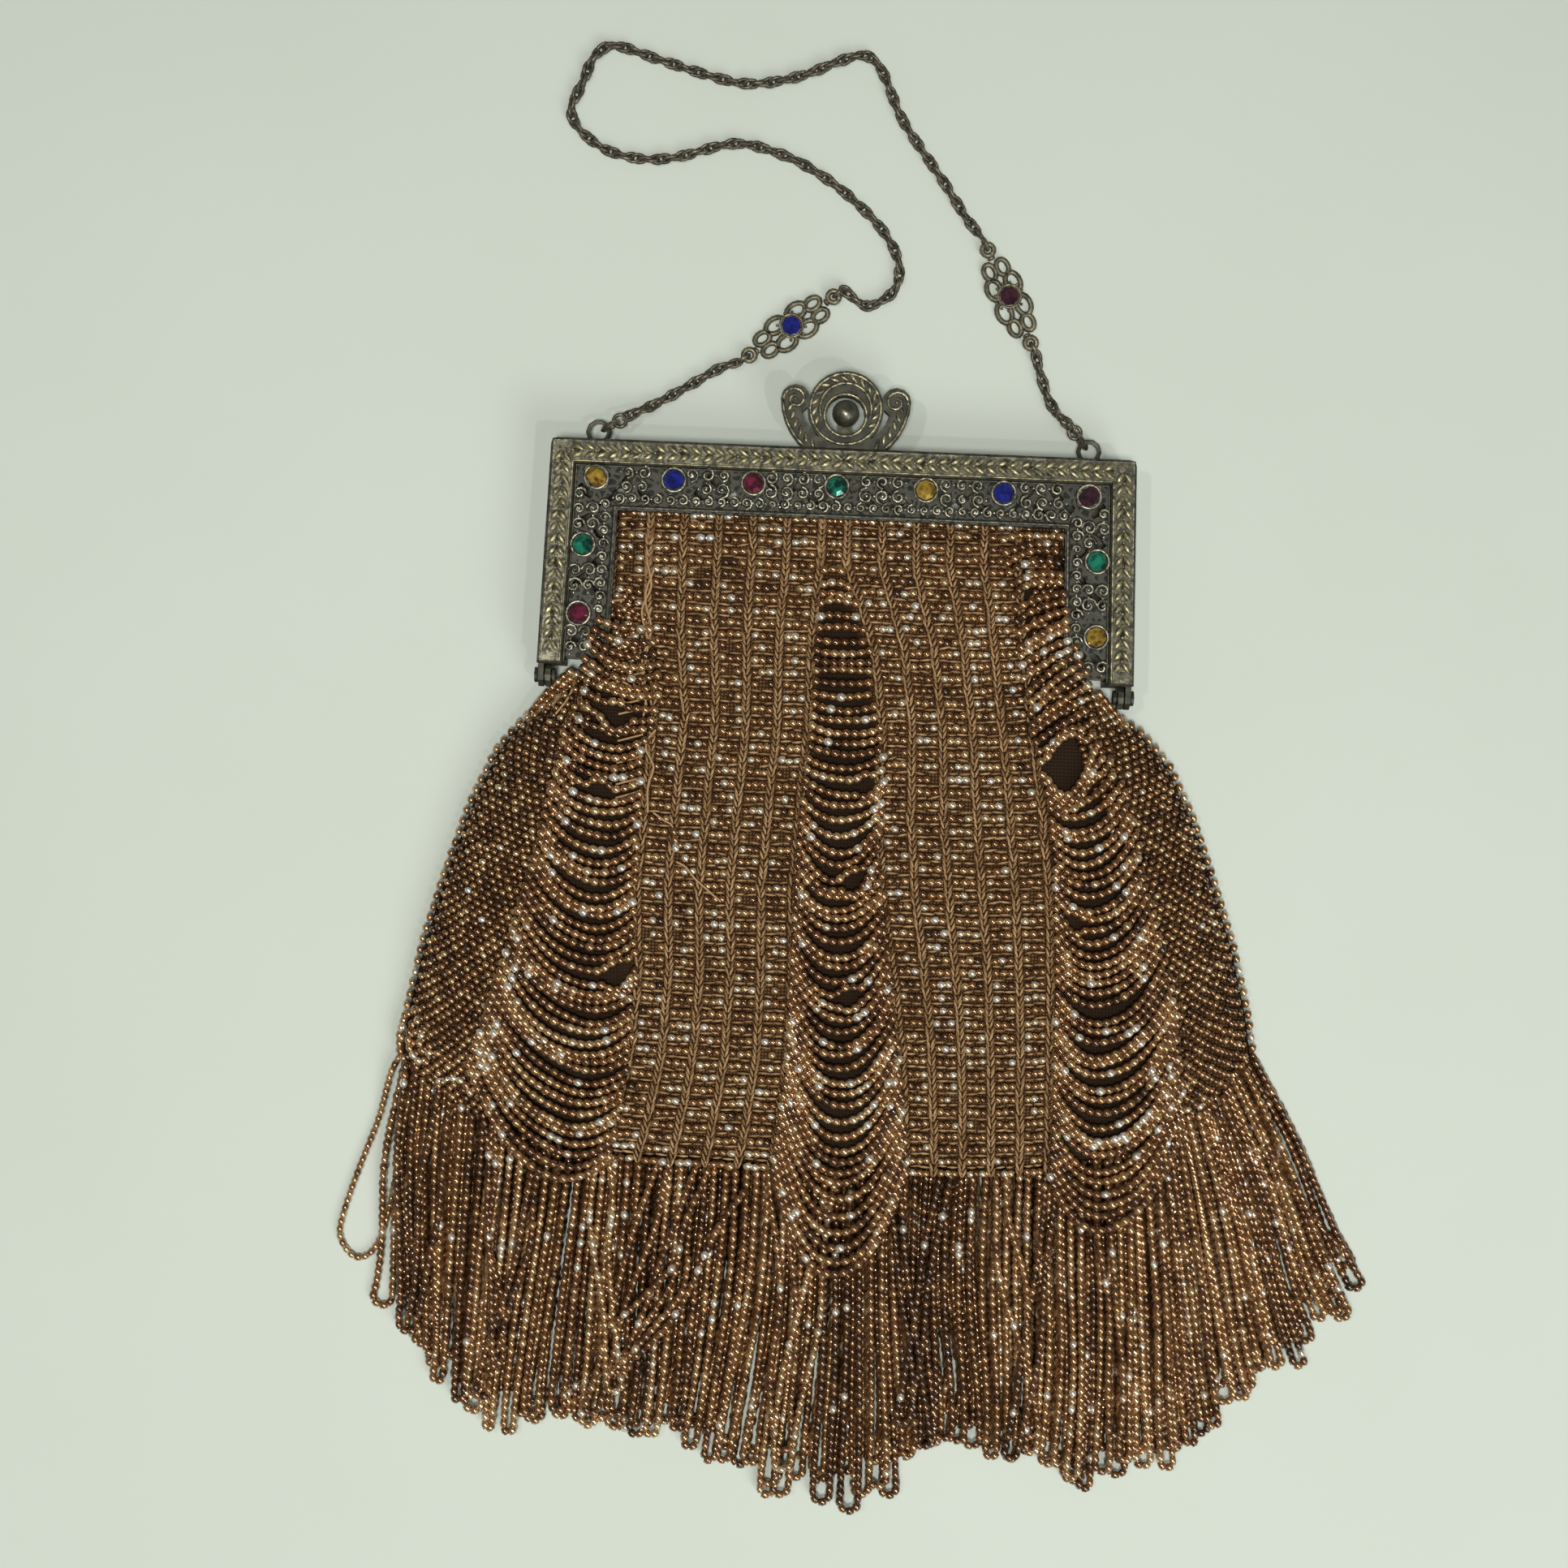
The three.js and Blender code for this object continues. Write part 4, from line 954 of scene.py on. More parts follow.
# Fringe: loops of two legs in three layers, from the hem to a small turn at the bottom
fringe = {
    "bead": 1.92,
    "pitch": 1.8,
    "length": 60.0,
    "hem": 190.0,
    "sway": 6.5,
    "bunch": 1.4,
    "tone": 0.41,
    # painted shade: the fringe's beads are painted darker towards the right
    "toneSlope": 0.0002,
    "toneSpread": 0.17,
    "toneRange": (-0.28, 0.26),
    "beadSpread": 0.13,
    "palest": 0.98,
    # share of the beads painted near white, as painted glints
    "clear": 0.02,
    "tilt": 0.12,
    "fill": 0.97,
    # more loops where the hem turns up and the strands splay: from, to, how many
    "extra": (0.7, 1.0, 14),
    # s along the hem, length share, splay in degrees
    "spread": [
        (-1, 0.95, -1), (-0.9, 1.03, -2), (-0.75, 1.05, -1), (-0.5, 1.02, 0), (-0.25, 1.0, -1),
        (-0.13, 1.15, 0), (0.02, 1.22, 0), (0.15, 1.18, 1), (0.27, 1.0, 1), (0.45, 1.03, 1), (0.6, 1.19, 2),
        (0.7, 1.19, 4), (0.78, 1.16, 9), (0.86, 1.09, 17), (0.93, 1.03, 24), (1, 0.96, 30),
    ],
    # loops, length share, height over the table at the hem and at the ends
    "layers": {
        "fringeUnder": (58, 0.95, 1.2, 1.1),
        "fringeMiddle": (48, 0.98, 3.0, 1.7),
        "fringeTop": (38, 1.0, 5.0, 2.8),
    },
    # loops that lie across the others: place on the hem in x, how far the lower end is off, length share
    "crossing": [
        (-72, 5, 0.9), (-60, -7, 0.96), (-47, 8, 0.88), (-33, -12, 0.95), (-24, -14, 0.8), (-9, 9, 1.05),
        (4, -8, 1.12), (17, 7, 1.02), (29, -9, 0.94), (41, 8, 0.98), (52, -6, 1.08), (63, 7, 1.02),
        (-82, -6, 0.84),
    ],
    # loops that reach out of the outline: place on the hem in x, then the lowest point, and half the turn
    "outlying": [
        (-90, -94.4, -192.5, 2.3), (-86, -87.3, -199.0, 2.0), (-81, -82.4, -205.5, 1.9),
        (86, 116.0, -173.0, 2.1), (82, 107.5, -188.0, 2.1), (16, 19.5, -219.5, 2.2),
        (60, 61.0, -222.0, 2.0), (-44, -46.0, -210.0, 1.9),
    ],
    # strands pulled out of the fringe, point by point
    "pulled": [
        [
            (-14.9, -162.6), (-20.3, -170.6), (-23.4, -177.5), (-26.5, -185.3), (-31, -193.2),
            (-36.5, -199.2), (-42.1, -204.3),
        ],
        [(-28.7, -178.6), (-33.3, -183.7), (-38.9, -189.7), (-43.5, -193.7)],
        [(-26.8, -177.6), (-27.9, -185.4), (-32, -191.3), (-37.5, -198.3), (-43.1, -204.3)],
    ],
}
fringeSpread = np.array(fringe["spread"], dtype=float)


# How far the strands that hang from x on the hem have swayed and bunched together at t of their length
def drift(x, t, layerNumber):
    sway = fringe["sway"] * t**1.4 * rough(x / 26, 1.1 * t, 3.3 + 0.05 * layerNumber)
    return sway + fringe["bunch"] * t * rough(x / 9, 1.3 * t, 9.1 + 0.3 * layerNumber)


# One loop: two legs from the hem to both sides of its lowest point, and the turn that joins them
def fringeLine(top, low, turn, heights, layerNumber, loose, part=1.2):
    steps = np.linspace(0, 1, 36)
    length = np.linalg.norm(np.subtract(low, top))
    legs = []
    for side in (-1, 1):
        wander = chance.uniform(0, 50)
        offset = side * (part + (turn - part) * np.clip((steps - 0.55) / 0.45, 0, 1) ** 2)
        swayed = [drift(top[0] + side * part, k, layerNumber) for k in steps]
        strayed = [loose * math.sin(math.pi * k) * rough(wander, 2.2 * k, 1.5) for k in steps]
        x = top[0] + (low[0] - top[0]) * steps + offset + np.add(swayed, strayed)
        y = top[1] + (low[1] - top[1]) * steps * (1 - turn / length)
        z = heights[0] + (heights[1] - heights[0]) * steps**1.3 + 0.3 * np.sin(5 * steps + wander) * steps
        legs.append(np.stack([x, y, z], axis=1))
    left, right = legs
    centre = (left[-1] + right[-1]) / 2
    radius = max(abs(right[-1, 0] - left[-1, 0]) / 2, 0.6)
    angles = np.linspace(math.pi, math.tau, 12)[1:-1]
    arc = [centre + [radius * math.cos(a), max(radius, 1.1) * math.sin(a), 0] for a in angles]
    return np.concatenate([left, arc, right[::-1]])


def hemPoint(s):
    return onBag(hemDown - 1.0, np.clip(s, -1, 1))[:2]


def hemAtX(x):
    return hemPoint((x - leanAt(hemDown)) / rowValue(hemDown, 1))


for layerNumber, (layer, (loops, reach, *heights)) in enumerate(fringe["layers"].items()):
    lines = []
    shares = -1 + (np.arange(loops) + 0.5) * 2 / loops
    part = 0.25 * fringe["hem"] / loops
    if layer != "fringeTop":
        shares = np.concatenate([shares, np.linspace(*fringe["extra"])])
    for s in shares + 0.003 * chance.normal(0, 1, len(shares)):
        top = hemPoint(s)
        share, splay = (float(np.interp(s, fringeSpread[:, 0], fringeSpread[:, k])) for k in (1, 2))
        ragged = 1 + 0.025 * np.clip(chance.normal(), -1.5, 1.5)
        ragged += 0.07 * rough(top[0] / 9, 4.4, layerNumber)
        length = fringe["length"] * share * reach * ragged
        lean = math.radians(splay + 0.6 * chance.normal())
        low = (top[0] + length * math.sin(lean), top[1] - length * math.cos(lean))
        turn = 1.1 + 0.5 * abs(chance.normal())
        lines.append(fringeLine(top, low, turn, heights, layerNumber, 0.6, part))
    if layer == "fringeTop":
        for x, off, share in fringe["crossing"]:
            top = hemAtX(x)
            low = (top[0] + off, top[1] - fringe["length"] * share)
            lines.append(fringeLine(top, low, 1.5, (5.6, 4.6), layerNumber, 4.0))
        lines.extend(smoothLine([(x, y, 5.9) for x, y in strand]) for strand in fringe["pulled"])
    if layer == "fringeMiddle":
        for x, lowX, lowY, turn in fringe["outlying"]:
            top = hemAtX(x)
            lowX -= drift(top[0], 1.0, layerNumber)
            lines.append(fringeLine(top, (lowX, lowY), turn, (3.4, 1.3), layerNumber, 1.5))
    strands = []
    for line in lines:
        at, axis = threaded(line, fringe["pitch"])
        # painted shade: the tone is darker towards the right
        tone = toneOf(fringe, fringe["tone"] - fringe["toneSlope"] * line[0, 0])
        shades = np.minimum(shadesOf(tone, fringe["beadSpread"], len(at)), fringe["palest"])
        strands.append((at, axis, shades))
    template = plainBead if layer == "fringeUnder" else beadTemplate
    fringeBeads = strandBeads(layer + "Beads", template, fringe, strands)
    if layer == "fringeTop":
        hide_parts("fringe")
    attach(fringeBeads, "root")
    print(layer, "beads:", sum(len(at) for at, _, _ in strands))

# One loop of the fringe lies out to the left, on the table
stray = {
    "bead": 1.65,
    "pitch": 1.62,
    "line": [
        (-92.5, -136.6), (-94.6, -141), (-97, -151), (-100.8, -162), (-104, -172.5), (-104.4, -177.6),
        (-101.6, -181.6), (-98.2, -181.4), (-95.6, -177.5), (-93.9, -171), (-92.8, -164), (-91.5, -156),
    ],
}
strayPoints = smoothLine([(x, y, stray["bead"] / 2 + 0.15) for x, y in stray["line"]])
strayPoints[:, 2] += 2.2 * np.clip((strayPoints[:, 1] + 150) / 14, 0, 1)
at, axis = threaded(strayPoints, stray["pitch"])
strayLoop = strew(
    "strayLoop", beadTemplate, at, axis, stray["bead"], stray["pitch"] * 0.95,
    shadesOf(0.55, 0.12, len(at)), strandGlass,
)
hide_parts("stray_loop")
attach(strayLoop, "root")

# The bag's lower left corner has rolled up: strands of beads bunch there. A broken strand hangs in front.
loose = {
    "bead": 1.8,
    "long": 1.7,
    "pitch": 1.75,
    "thread": 0.24,
    "roll": [
        [
            (-89, -125.5, 3.6), (-91.9, -128.6, 3.4), (-92.8, -133, 3.2), (-91.5, -137.3, 3.4),
            (-88.1, -139.8, 4.2), (-84.5, -139.4, 5),
        ],
        [(-88, -127.5, 4.8), (-90.1, -130.4, 5), (-90.3, -134, 5), (-88.5, -137, 5.2), (-85.3, -137.6, 5.8)],
        [
            (-86, -129.5, 5.4), (-87.8, -132.4, 6), (-86.8, -135.2, 6.2), (-83.5, -135.4, 6.4),
            (-80, -137.8, 6.8),
        ],
        [(-84, -141.8, 5.2), (-80, -140.6, 6.8), (-77.2, -141.8, 7.4), (-75.5, -144.6, 7.6)],
        # the shoulders, drawn up to the hinges
        [(-57.5, -49.8, 6), (-61, -53, 6), (-64.5, -57, 5.5), (-67.3, -61, 4.8)],
        [(-54.5, -51, 6.4), (-58.5, -54.2, 6.2), (-62, -58.2, 5.6), (-65, -62, 5)],
        [(-56, -50.4, 6.2), (-59.8, -53.6, 6.1), (-63.3, -57.6, 5.5), (-66.2, -61.5, 4.9)],
        [(57.8, -50, 6), (61.2, -53.8, 6), (64.7, -58.3, 5.5), (67.5, -62.3, 4.8)],
        [(56.3, -50.6, 6.2), (60, -54.4, 6.1), (63.6, -58.8, 5.5), (66.4, -62.9, 4.9)],
        [(54.8, -51.2, 6.4), (58.8, -55, 6.2), (62.2, -59.4, 5.6), (65.2, -63.5, 5)],
    ],
    "broken": [(-33.6, -83.6), (-33.1, -85.6), (-32.9, -87.7), (-32.6, -89.5)],
    # bare threads: height over the skin, then the points
    "threads": [
        (1.5, [
            (-46.3, -34.6), (-52, -35.7), (-54.8, -41.6), (-54.7, -45.1), (-51.4, -49.4), (-46.9, -51.9),
            (-42.4, -54.3),
        ]),
        (1.2, [(-38, -80.5), (-35.9, -81.9), (-34.2, -82.8), (-33.6, -83.6)]),
        (1.3, [(-32.6, -90.9), (-30.6, -91.9), (-28.4, -94.4), (-25.5, -96.8), (-22.7, -99.1)]),
        (1.2, [
            (-38.3, -62.6), (-39.8, -64.7), (-40.1, -67.1), (-38.4, -70.7), (-39.4, -74.9), (-39.2, -80.6),
        ]),
        (1.0, [(-41.8, -26), (-40.6, -31.5), (-42.4, -37), (-40.8, -44), (-41.6, -52), (-40.4, -58)]),
        (1.0, [(-40.2, -28), (-41.8, -34), (-40.2, -41), (-41.9, -48), (-40.7, -55), (-41.4, -62)]),
        (1.0, [(-57.5, -50.5), (-59.5, -55), (-61.5, -58.2)]),
        (1.0, [(-56.5, -51.5), (-57.8, -56), (-60.5, -60)]),
    ],
    # the ladder of threads at the top of the left swags: how many, share of the height, pitch, ends in x
    "ladder": (14, 0.24, 2.46, -46.5, -41),
}
looseLines = [smoothLine(line) for line in loose["roll"]]
looseLines.append(smoothLine([(x, y, float(restHeight(x, y)) + 1.3) for x, y in loose["broken"]]))
ats, axes = (np.concatenate(part) for part in zip(*(threaded(line, loose["pitch"]) for line in looseLines)))
looseBeads = strew(
    "looseBeads", beadTemplate, ats, axes, loose["bead"], loose["long"],
    shadesOf(0.62, 0.2, len(ats)), strandGlass,
)
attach(looseBeads, "root")
threadLines = []
for lift, line in loose["threads"]:
    flat = smoothLine([(x, y, 0) for x, y in line])
    flat[:, 2] = restHeight(flat[:, 0], flat[:, 1]) + lift
    threadLines.append(flat)
rungs, rungFrom, rungPitch, rungLeft, rungRight = loose["ladder"]
for number in range(rungs):
    bareDown = swags["top"] + rungFrom * swags["height"] + rungPitch * number
    start, _, out = skinFrame(np.full(6, bareDown), np.linspace(rungLeft, rungRight, 6) + 0.02 * number)
    start[:, 1] -= 2.2 * (1 - np.linspace(0, 1, 6)) + 0.4 * math.sin(number * 2.1)
    threadLines.append(start + out * 1.0)
bareThreads = wires("bareThreads", threadLines, loose["thread"], stitchSilk, shade=0.85)
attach(bareThreads, "root")
print("loose strands made")

# Handle: rope chain of interlocked oval links, with an upright or flat ring at each end
handle = {
    "link": 3.9,
    "width": 2.68,
    "wire": 0.78,
    "step": 1.42,
    "low": 1.35,
    # how far from a loop's and a connector's middle a run of chain starts, and its end ring lies
    "runReach": (6.85, 14.05),
    "ringReach": (5.25, 12.75),
    "loop": {-1: (-54, 2.55, 4.85), 1: (54, 2.55, 4.85)},
    "connectors": {"left": (-12.6, 28.3, 37), "right": (35.4, 36.8, -63)},
    "routes": {
        "chain_left": [(-41.5, 10.1, 1.7), (-34.3, 14.5), (-28.4, 18.2)],
        "chain_middle": [
            (3.4, 33.6), (7.2, 34.8), (10.3, 38), (10.6, 43.5), (7.3, 49.7), (1.4, 55.7), (-6.9, 61.8),
            (-16, 66.2), (-26.7, 68.3), (-39.1, 64.9), (-47, 64.1), (-54.8, 65.6), (-61.3, 70), (-63.3, 74.6),
            (-61, 80.6), (-58.6, 86.4), (-54.3, 88.9), (-44.5, 86.3), (-33.6, 83.3), (-24, 81.7),
            (-13.1, 83.8), (-3.6, 87.8), (1.6, 88.9), (5.3, 85.6), (10.4, 74.8), (19.8, 61.8), (25, 54.2),
        ],
        "chain_right": [(43.2, 19.5), (45.9, 12.8, 1.7)],
    },
}


def onCircle(x, y, reach, angle):
    return x + reach * math.cos(angle), y + reach * math.sin(angle)


def hangerSpot(side, reach):
    loop = np.array(handle["loop"][side], dtype=float)
    end = handle["routes"]["chain_left"][0] if side < 0 else handle["routes"]["chain_right"][-1]
    way = unit(np.array(end[:2]) - loop[:2])
    return (*(loop[:2] + way * reach), loop[2]), math.atan2(way[1], way[0])


def connectorSpot(name, end, reach):
    x, y, turn = handle["connectors"][name]
    angle = math.radians(turn + (180 if end < 0 else 0))
    return (*onCircle(x, y, reach, angle), 1.8), angle


def runEnds(hangerReach, reach):
    return {
        "chain_left": (hangerSpot(-1, hangerReach), connectorSpot("left", -1, reach)),
        "chain_middle": (connectorSpot("left", 1, reach), connectorSpot("right", -1, reach)),
        "chain_right": (connectorSpot("right", 1, reach), hangerSpot(1, hangerReach)),
    }


def ringShape(major, minor, wire, segments, sides):
    shape = bmesh.new()
    made = bmesh.ops.create_circle(shape, segments=sides, radius=wire / 2)
    bmesh.ops.rotate(shape, verts=made["verts"], matrix=Matrix.Rotation(math.pi / 2, 3, "X"))
    bmesh.ops.translate(shape, verts=made["verts"], vec=(1, 0, 0))
    bmesh.ops.spin(
        shape, geom=shape.verts[:] + shape.edges[:], axis=(0, 0, 1), cent=(0, 0, 0),
        angle=math.tau, steps=segments, use_merge=True,
    )
    for vert in shape.verts:
        flat = Vector((vert.co.x, vert.co.y, 0))
        ray = flat.normalized()
        reach = flat.length - 1
        vert.co.x = ray.x * (major / 2 - wire / 2 + reach)
        vert.co.y = ray.y * (minor / 2 - wire / 2 + reach)
    return shapeOf(shape)


# One mesh of many small shapes, each at a spot with its length along a way and turned about that way
def placeShapes(name, shapes, material):
    verts, faces = [], []
    for (points, own), spot, along, roll in shapes:
        along = unit(np.array(along, dtype=float))
        side = unit(np.cross([0, 0, 1.0], along))
        over = np.cross(along, side)
        across = side * math.cos(roll) + over * math.sin(roll)
        normal = np.cross(along, across)
        base = sum(len(part) for part in verts)
        placed = np.array(spot) + points[:, :1] * along + points[:, 1:2] * across
        verts.append(placed + points[:, 2:] * normal)
        faces += [[i + base for i in face] for face in own]
    mesh = bpy.data.meshes.new(name)
    mesh.from_pydata(metres(np.concatenate(verts)), [], faces)
    return addMesh(name, mesh, material)


linkShape = ringShape(handle["link"], handle["width"], handle["wire"], 12, 5)
endRing = ringShape(3.6, 3.6, 0.9, 16, 6)
lineEnds = runEnds(*handle["runReach"])
ringSpots = runEnds(*handle["ringReach"])
for runName, route in handle["routes"].items():
    (first, _), (last, _) = lineEnds[runName]
    middle = [(p[0], p[1], p[2] if len(p) > 2 else handle["low"]) for p in route]
    line = smoothLine([first, *middle, last], 10)
    at, axis = threaded(line, handle["step"])
    rings = [(linkShape, spot, way, k * 0.8) for k, (spot, way) in enumerate(zip(at, axis))]
    for spot, angle in ringSpots[runName]:
        flatRing = spot[2] > 3
        rings.append((endRing, spot, (math.cos(angle), math.sin(angle), 0), 0 if flatRing else math.pi / 2))
    chainPiece = placeShapes(runName.replace("chain_", "chain") + "Links", rings, chainMetal)
    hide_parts(runName)
    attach(chainPiece, "root")
print("handle made")

# Relief of the frame: laurel leaves on the rim, scrolls and berries on the band, rails along both
frameWork = {
    "half": 63.5,
    "splay": 0.02619,
    "end": 48.4,
    "leafInset": 2.75,
    "leafPitch": 2.5,
    "leafTurn": 34,
    "leafTop": 13.05,
    "stoneInset": 8.3,
    "bandTop": 11.75,
    # share of the half width, or of the arm's length, where each stone lies
    "barStones": [-0.842, -0.577, -0.305, -0.02, 0.284, 0.55, 0.842],
    "armStones": {-1: [0.47, 0.775], 1: [0.455, 0.79]},
    "armLength": 49,
    # inset, height, radius of the wires that run round the frame
    "rails": [(0.55, 12.75, 0.36), (4.95, 12.9, 0.3), (14.6, 12.1, 0.5), (5.75, 11.9, 0.28)],
    # rows of curls: inset, spacing, radius, room left round a stone
    "curlRows": [(6.9, 3.3, 1.45, 4.0), (10.0, 3.3, 1.5, 4.0), (12.6, 2.7, 1.15, 0.0)],
}


def armX(y, inset):
    return frameWork["half"] - frameWork["splay"] * y - inset


# The straight runs of the frame at an inset: the bar from its middle outwards, then each arm downwards
def frameRuns(inset):
    end = -frameWork["end"]
    for side in (-1, 1):
        corner = (side * armX(-inset, inset), -inset)
        yield (0, -inset), corner
        yield corner, (side * armX(end, inset), end)


def frameSpots(inset, pitch, margin=1.0):
    for start, stop in frameRuns(inset):
        run = np.subtract(stop, start)
        length = np.linalg.norm(run)
        way = run / length
        count = int((length - margin) / pitch)
        for k in range(count):
            yield np.array(start) + way * (k + 0.5) * (length - margin) / count, way


def stoneSpots():
    for share in frameWork["barStones"]:
        yield share * frameWork["half"], -frameWork["stoneInset"]
    for side, shares in frameWork["armStones"].items():
        for share in shares:
            y = -share * frameWork["armLength"]
            yield side * armX(y, frameWork["stoneInset"]), y


def turned(way, degrees):
    angle = math.atan2(way[1], way[0]) + math.radians(degrees)
    return math.cos(angle), math.sin(angle), 0.0


# A leaf: a flattened ball pinched to a point at both ends
def leafShape(length, width, height):
    shape = bmesh.new()
    bmesh.ops.create_uvsphere(shape, u_segments=8, v_segments=6, radius=0.5)
    bmesh.ops.rotate(shape, verts=shape.verts, matrix=Matrix.Rotation(math.pi / 2, 3, "Y"))
    for vert in shape.verts:
        pinch = math.sqrt(max(0.0, 1 - 4 * vert.co.x**2))
        vert.co = (vert.co.x * length, vert.co.y * width * pinch, vert.co.z * height)
    return shapeOf(shape)


def ballShape(radius, u=8, v=5):
    shape = bmesh.new()
    bmesh.ops.create_uvsphere(shape, u_segments=u, v_segments=v, radius=radius)
    return shapeOf(shape)


# A small shape as placeShapes takes it, laid without a turn
def laid(shape, x, y, z):
    return shape, (x, y, z), (1, 0, 0), 0.0


def metalPiece(piece):
    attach(piece, "root")


rimLeaf = leafShape(3.0, 1.35, 1.1)
berry = ballShape(0.36)
smallBerry = ballShape(0.3, 6, 4)
leaves = []
for (x, y), way in frameSpots(frameWork["leafInset"], frameWork["leafPitch"], 2.0):
    for side in (-1, 1):
        spot = (x - way[1] * side * 0.85, y + way[0] * side * 0.85, frameWork["leafTop"] - 0.05)
        leaves.append((rimLeaf, spot, turned(way, side * frameWork["leafTurn"]), 0.0))
    leaves.append(laid(berry, x + way[0] * 1.2, y + way[1] * 1.2, frameWork["leafTop"] + 0.1))
metalPiece(placeShapes("rimLeaves", leaves, leafMetal))

for number, (inset, z, radius) in enumerate(frameWork["rails"]):
    low = -frameWork["end"]
    corner = armX(-inset, inset)
    foot = armX(low, inset)
    rail = [(-foot, low, z), (-corner, -inset, z), (corner, -inset, z), (foot, low, z)]
    metalPiece(wires(f"rail{number}", [rail], radius, leafMetal if number == 1 else rimMetal))

stonesAt = np.array(list(stoneSpots()))
curls, berries = [], []
for inset, pitch, radius, room in frameWork["curlRows"]:
    for number, ((x, y), way) in enumerate(frameSpots(inset, pitch, 1.5)):
        if np.min(np.linalg.norm(stonesAt - (x, y), axis=1)) < room:
            continue
        heading = math.degrees(math.atan2(way[1], way[0]))
        flip = 1 if number % 2 else -1
        size = radius * (1 + 0.12 * chance.normal())
        curls.append(curlLine(x, y, frameWork["bandTop"], size, heading + 90 * flip, 1.15 * flip))
        if chance.uniform() > 0.35:
            berries.append(laid(berry, x, y, frameWork["bandTop"] + 0.1))
        off = pitch / 2
        berries.append(laid(smallBerry, x + way[0] * off, y + way[1] * off, frameWork["bandTop"]))
metalPiece(wires("bandScrolls", curls, 0.4, scrollMetal, sides=0))
metalPiece(placeShapes("bandBerries", berries, berryMetal))

stoneRing = ringShape(5.7, 5.7, 0.6, 20, 5)
stoneRings = [laid(stoneRing, x, y, 12.55) for x, y in stonesAt]
metalPiece(placeShapes("stoneRings", stoneRings, scrollMetal))

# Clasp: a smooth ball, and relief on the thumb plate
clasp = {
    "face": 11.35,
    "ball": (0, 7.4, 13.3),
    "ballRadius": 2.95,
    # x, y, radius, from and to in degrees of the raised lines
    "lines": [
        (0, 7.4, 4.6, -180, 180), (0, 8.8, 7.7, -180, 180), (0, 8.8, 5.6, -20, 200), (0, 11, 13.7, 183, 230),
        (0, 11, 13.7, 310, 357),
    ],
    "lobes": [(-11, 10.6, 2.7, 200, -1.3), (11, 10.6, 2.7, -20, 1.3)],
    # leaves in arcs: y of the middle, radius, range of the angle, turn of each leaf
    "leafArcs": [
        (8.8, 6.75, range(-30, 220, 18), 55), (11, 12.1, range(190, 236, 9), 50),
        (11, 12.1, range(306, 352, 9), 130),
    ],
}
lines = [circleLine(x, y, clasp["face"], r, 36, begin, end) for x, y, r, begin, end in clasp["lines"]]
lines += [curlLine(x, y, clasp["face"], r, begin, turns, 18) for x, y, r, begin, turns in clasp["lobes"]]
metalPiece(wires("claspLines", lines, 0.36, plateMetal))
plateLeaf = leafShape(2.7, 1.1, 1.0)
leaves = []
for middleY, reach, angles, lean in clasp["leafArcs"]:
    for angle in angles:
        x, y = onCircle(0, middleY, reach, math.radians(angle))
        leaves.append((plateLeaf, (x, y, clasp["face"] - 0.1), turned((1, 0), angle + lean), 0.0))
leaves += [laid(berry, x, y, clasp["face"] + 0.1) for x, y, *_ in clasp["lobes"]]
metalPiece(placeShapes("claspLeaves", leaves, plateMetal))
claspBall = laid(ballShape(clasp["ballRadius"], 28, 18), *clasp["ball"])
metalPiece(placeShapes("ballShell", [claspBall], claspMetal))

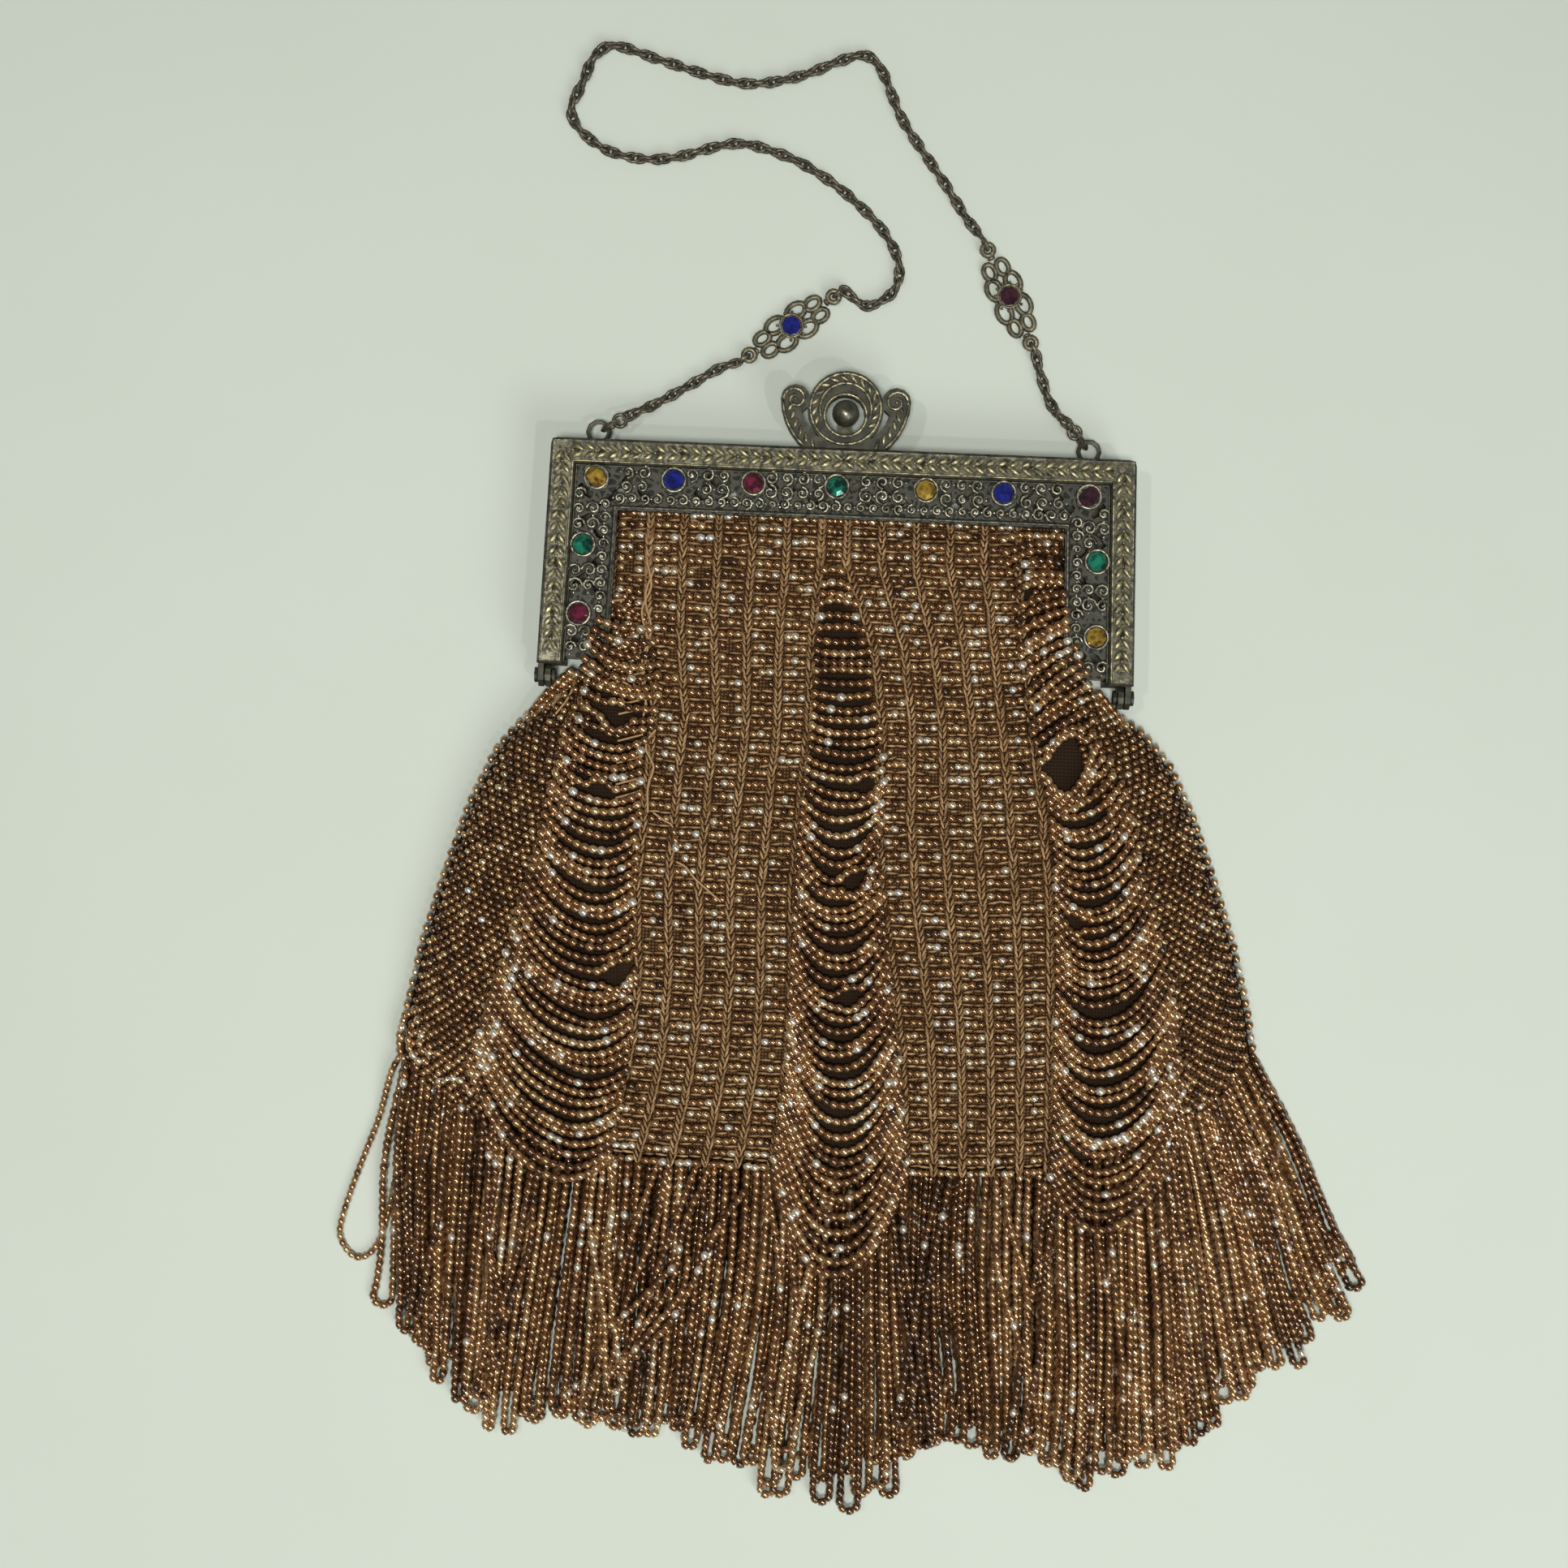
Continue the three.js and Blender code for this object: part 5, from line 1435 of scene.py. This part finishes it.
# Connectors of the handle: open rings of wire round a cup that holds the stone
connector = {
    # along, across, radius along, radius across of the rings at one quarter
    "rings": [(2.75, 2.3, 2.35, 1.6), (6.75, 1.55, 1.85, 1.3)],
    "wire": 0.6,
    "low": 0.8,
    "cup": (2.75, 2.3, 2.0),
    "eye": (11.35, 1.3),
    # twelve small balls round the cup, and collars between the rings and the eyes
    "balls": (12, 3.15, 1.7),
    "collars": (9.4, 10.1),
}
for side, (x, y, turn) in handle["connectors"].items():
    along = np.array([math.cos(math.radians(turn)), math.sin(math.radians(turn)), 0.0])
    across = np.array([-along[1], along[0], 0.0])
    lines = []
    for reach, off, long, wide in connector["rings"]:
        for a in (-1, 1):
            for b in (-1, 1):
                ring = circleLine(0, 0, connector["low"] + 0.12 * a * b, 1.0, 14, 0, 334)
                line = np.array([x, y, 0]) + along * reach * a + across * off * b
                line = line + ring[:, :1] * along * long + ring[:, 1:2] * across * wide
                lines.append(line + [0, 0, 1] * ring[:, 2:])
    for a in (-1, 1):
        ring = circleLine(0, 0, 1.8, connector["eye"][1], 14, 0, 334)
        lines.append(np.array([x, y, 0]) + along * connector["eye"][0] * a + ring)
    piece = wires(f"connector{side}Wires", lines, connector["wire"], connectorMetal, closed=True)
    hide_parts(f"medallion_{side}")
    metalPiece(piece)
    wide, narrow, tall = connector["cup"]
    cup = bmesh.new()
    bmesh.ops.create_cone(cup, cap_ends=True, segments=20, radius1=narrow, radius2=wide, depth=tall)
    bmesh.ops.bevel(
        cup, geom=cup.edges[:], offset=0.15, offset_type="OFFSET", segments=1, profile=0.5, affect="EDGES",
        clamp_overlap=True, material=-1,
    )
    count, ballReach, ballHeight = connector["balls"]
    shapes = [laid(shapeOf(cup), x, y, 0.2 + tall / 2), laid(stoneRing, x, y, 2.2)]
    shapes += [
        laid(berry, *onCircle(x, y, ballReach, a), ballHeight)
        for a in np.linspace(0, math.tau, count, endpoint=False)
    ]
    collar = ringShape(1.9, 1.9, 0.7, 10, 5)
    for a in (-1, 1):
        for reach in connector["collars"]:
            spot = np.array([x, y, 1.15]) + along * reach * a
            shapes.append((collar, tuple(spot), (0.02, 0.0, 1.0), math.radians(turn)))
    metalPiece(placeShapes(f"connector{side}Cup", shapes, connectorMetal))
print("relief made")

# The solids that aren't replaced keep their shapes and get their finishes, by how their names begin
solidLooks = {
    "frame_front": rimMetal,
    "hinge_pin": rimMetal,
    "filigree_front": bandMetal,
    "frame_back": backMetal,
    "filigree_back": backMetal,
    "clasp_ball": claspMetal,
    "medallion": connectorMetal,
    "jump_ring": chainMetal,
    **stoneLooks,
}
for nodeName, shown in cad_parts.items():
    for start, look in solidLooks.items():
        if nodeName.startswith(start):
            shown.data.materials.clear()
            shown.data.materials.append(look)
print("finishes set")

meshes = [piece.data for piece in bpy.data.objects if piece.type == "MESH"]
triangles = sum(len(face.vertices) - 2 for mesh in meshes for face in mesh.polygons)
print("triangles in all:", triangles)
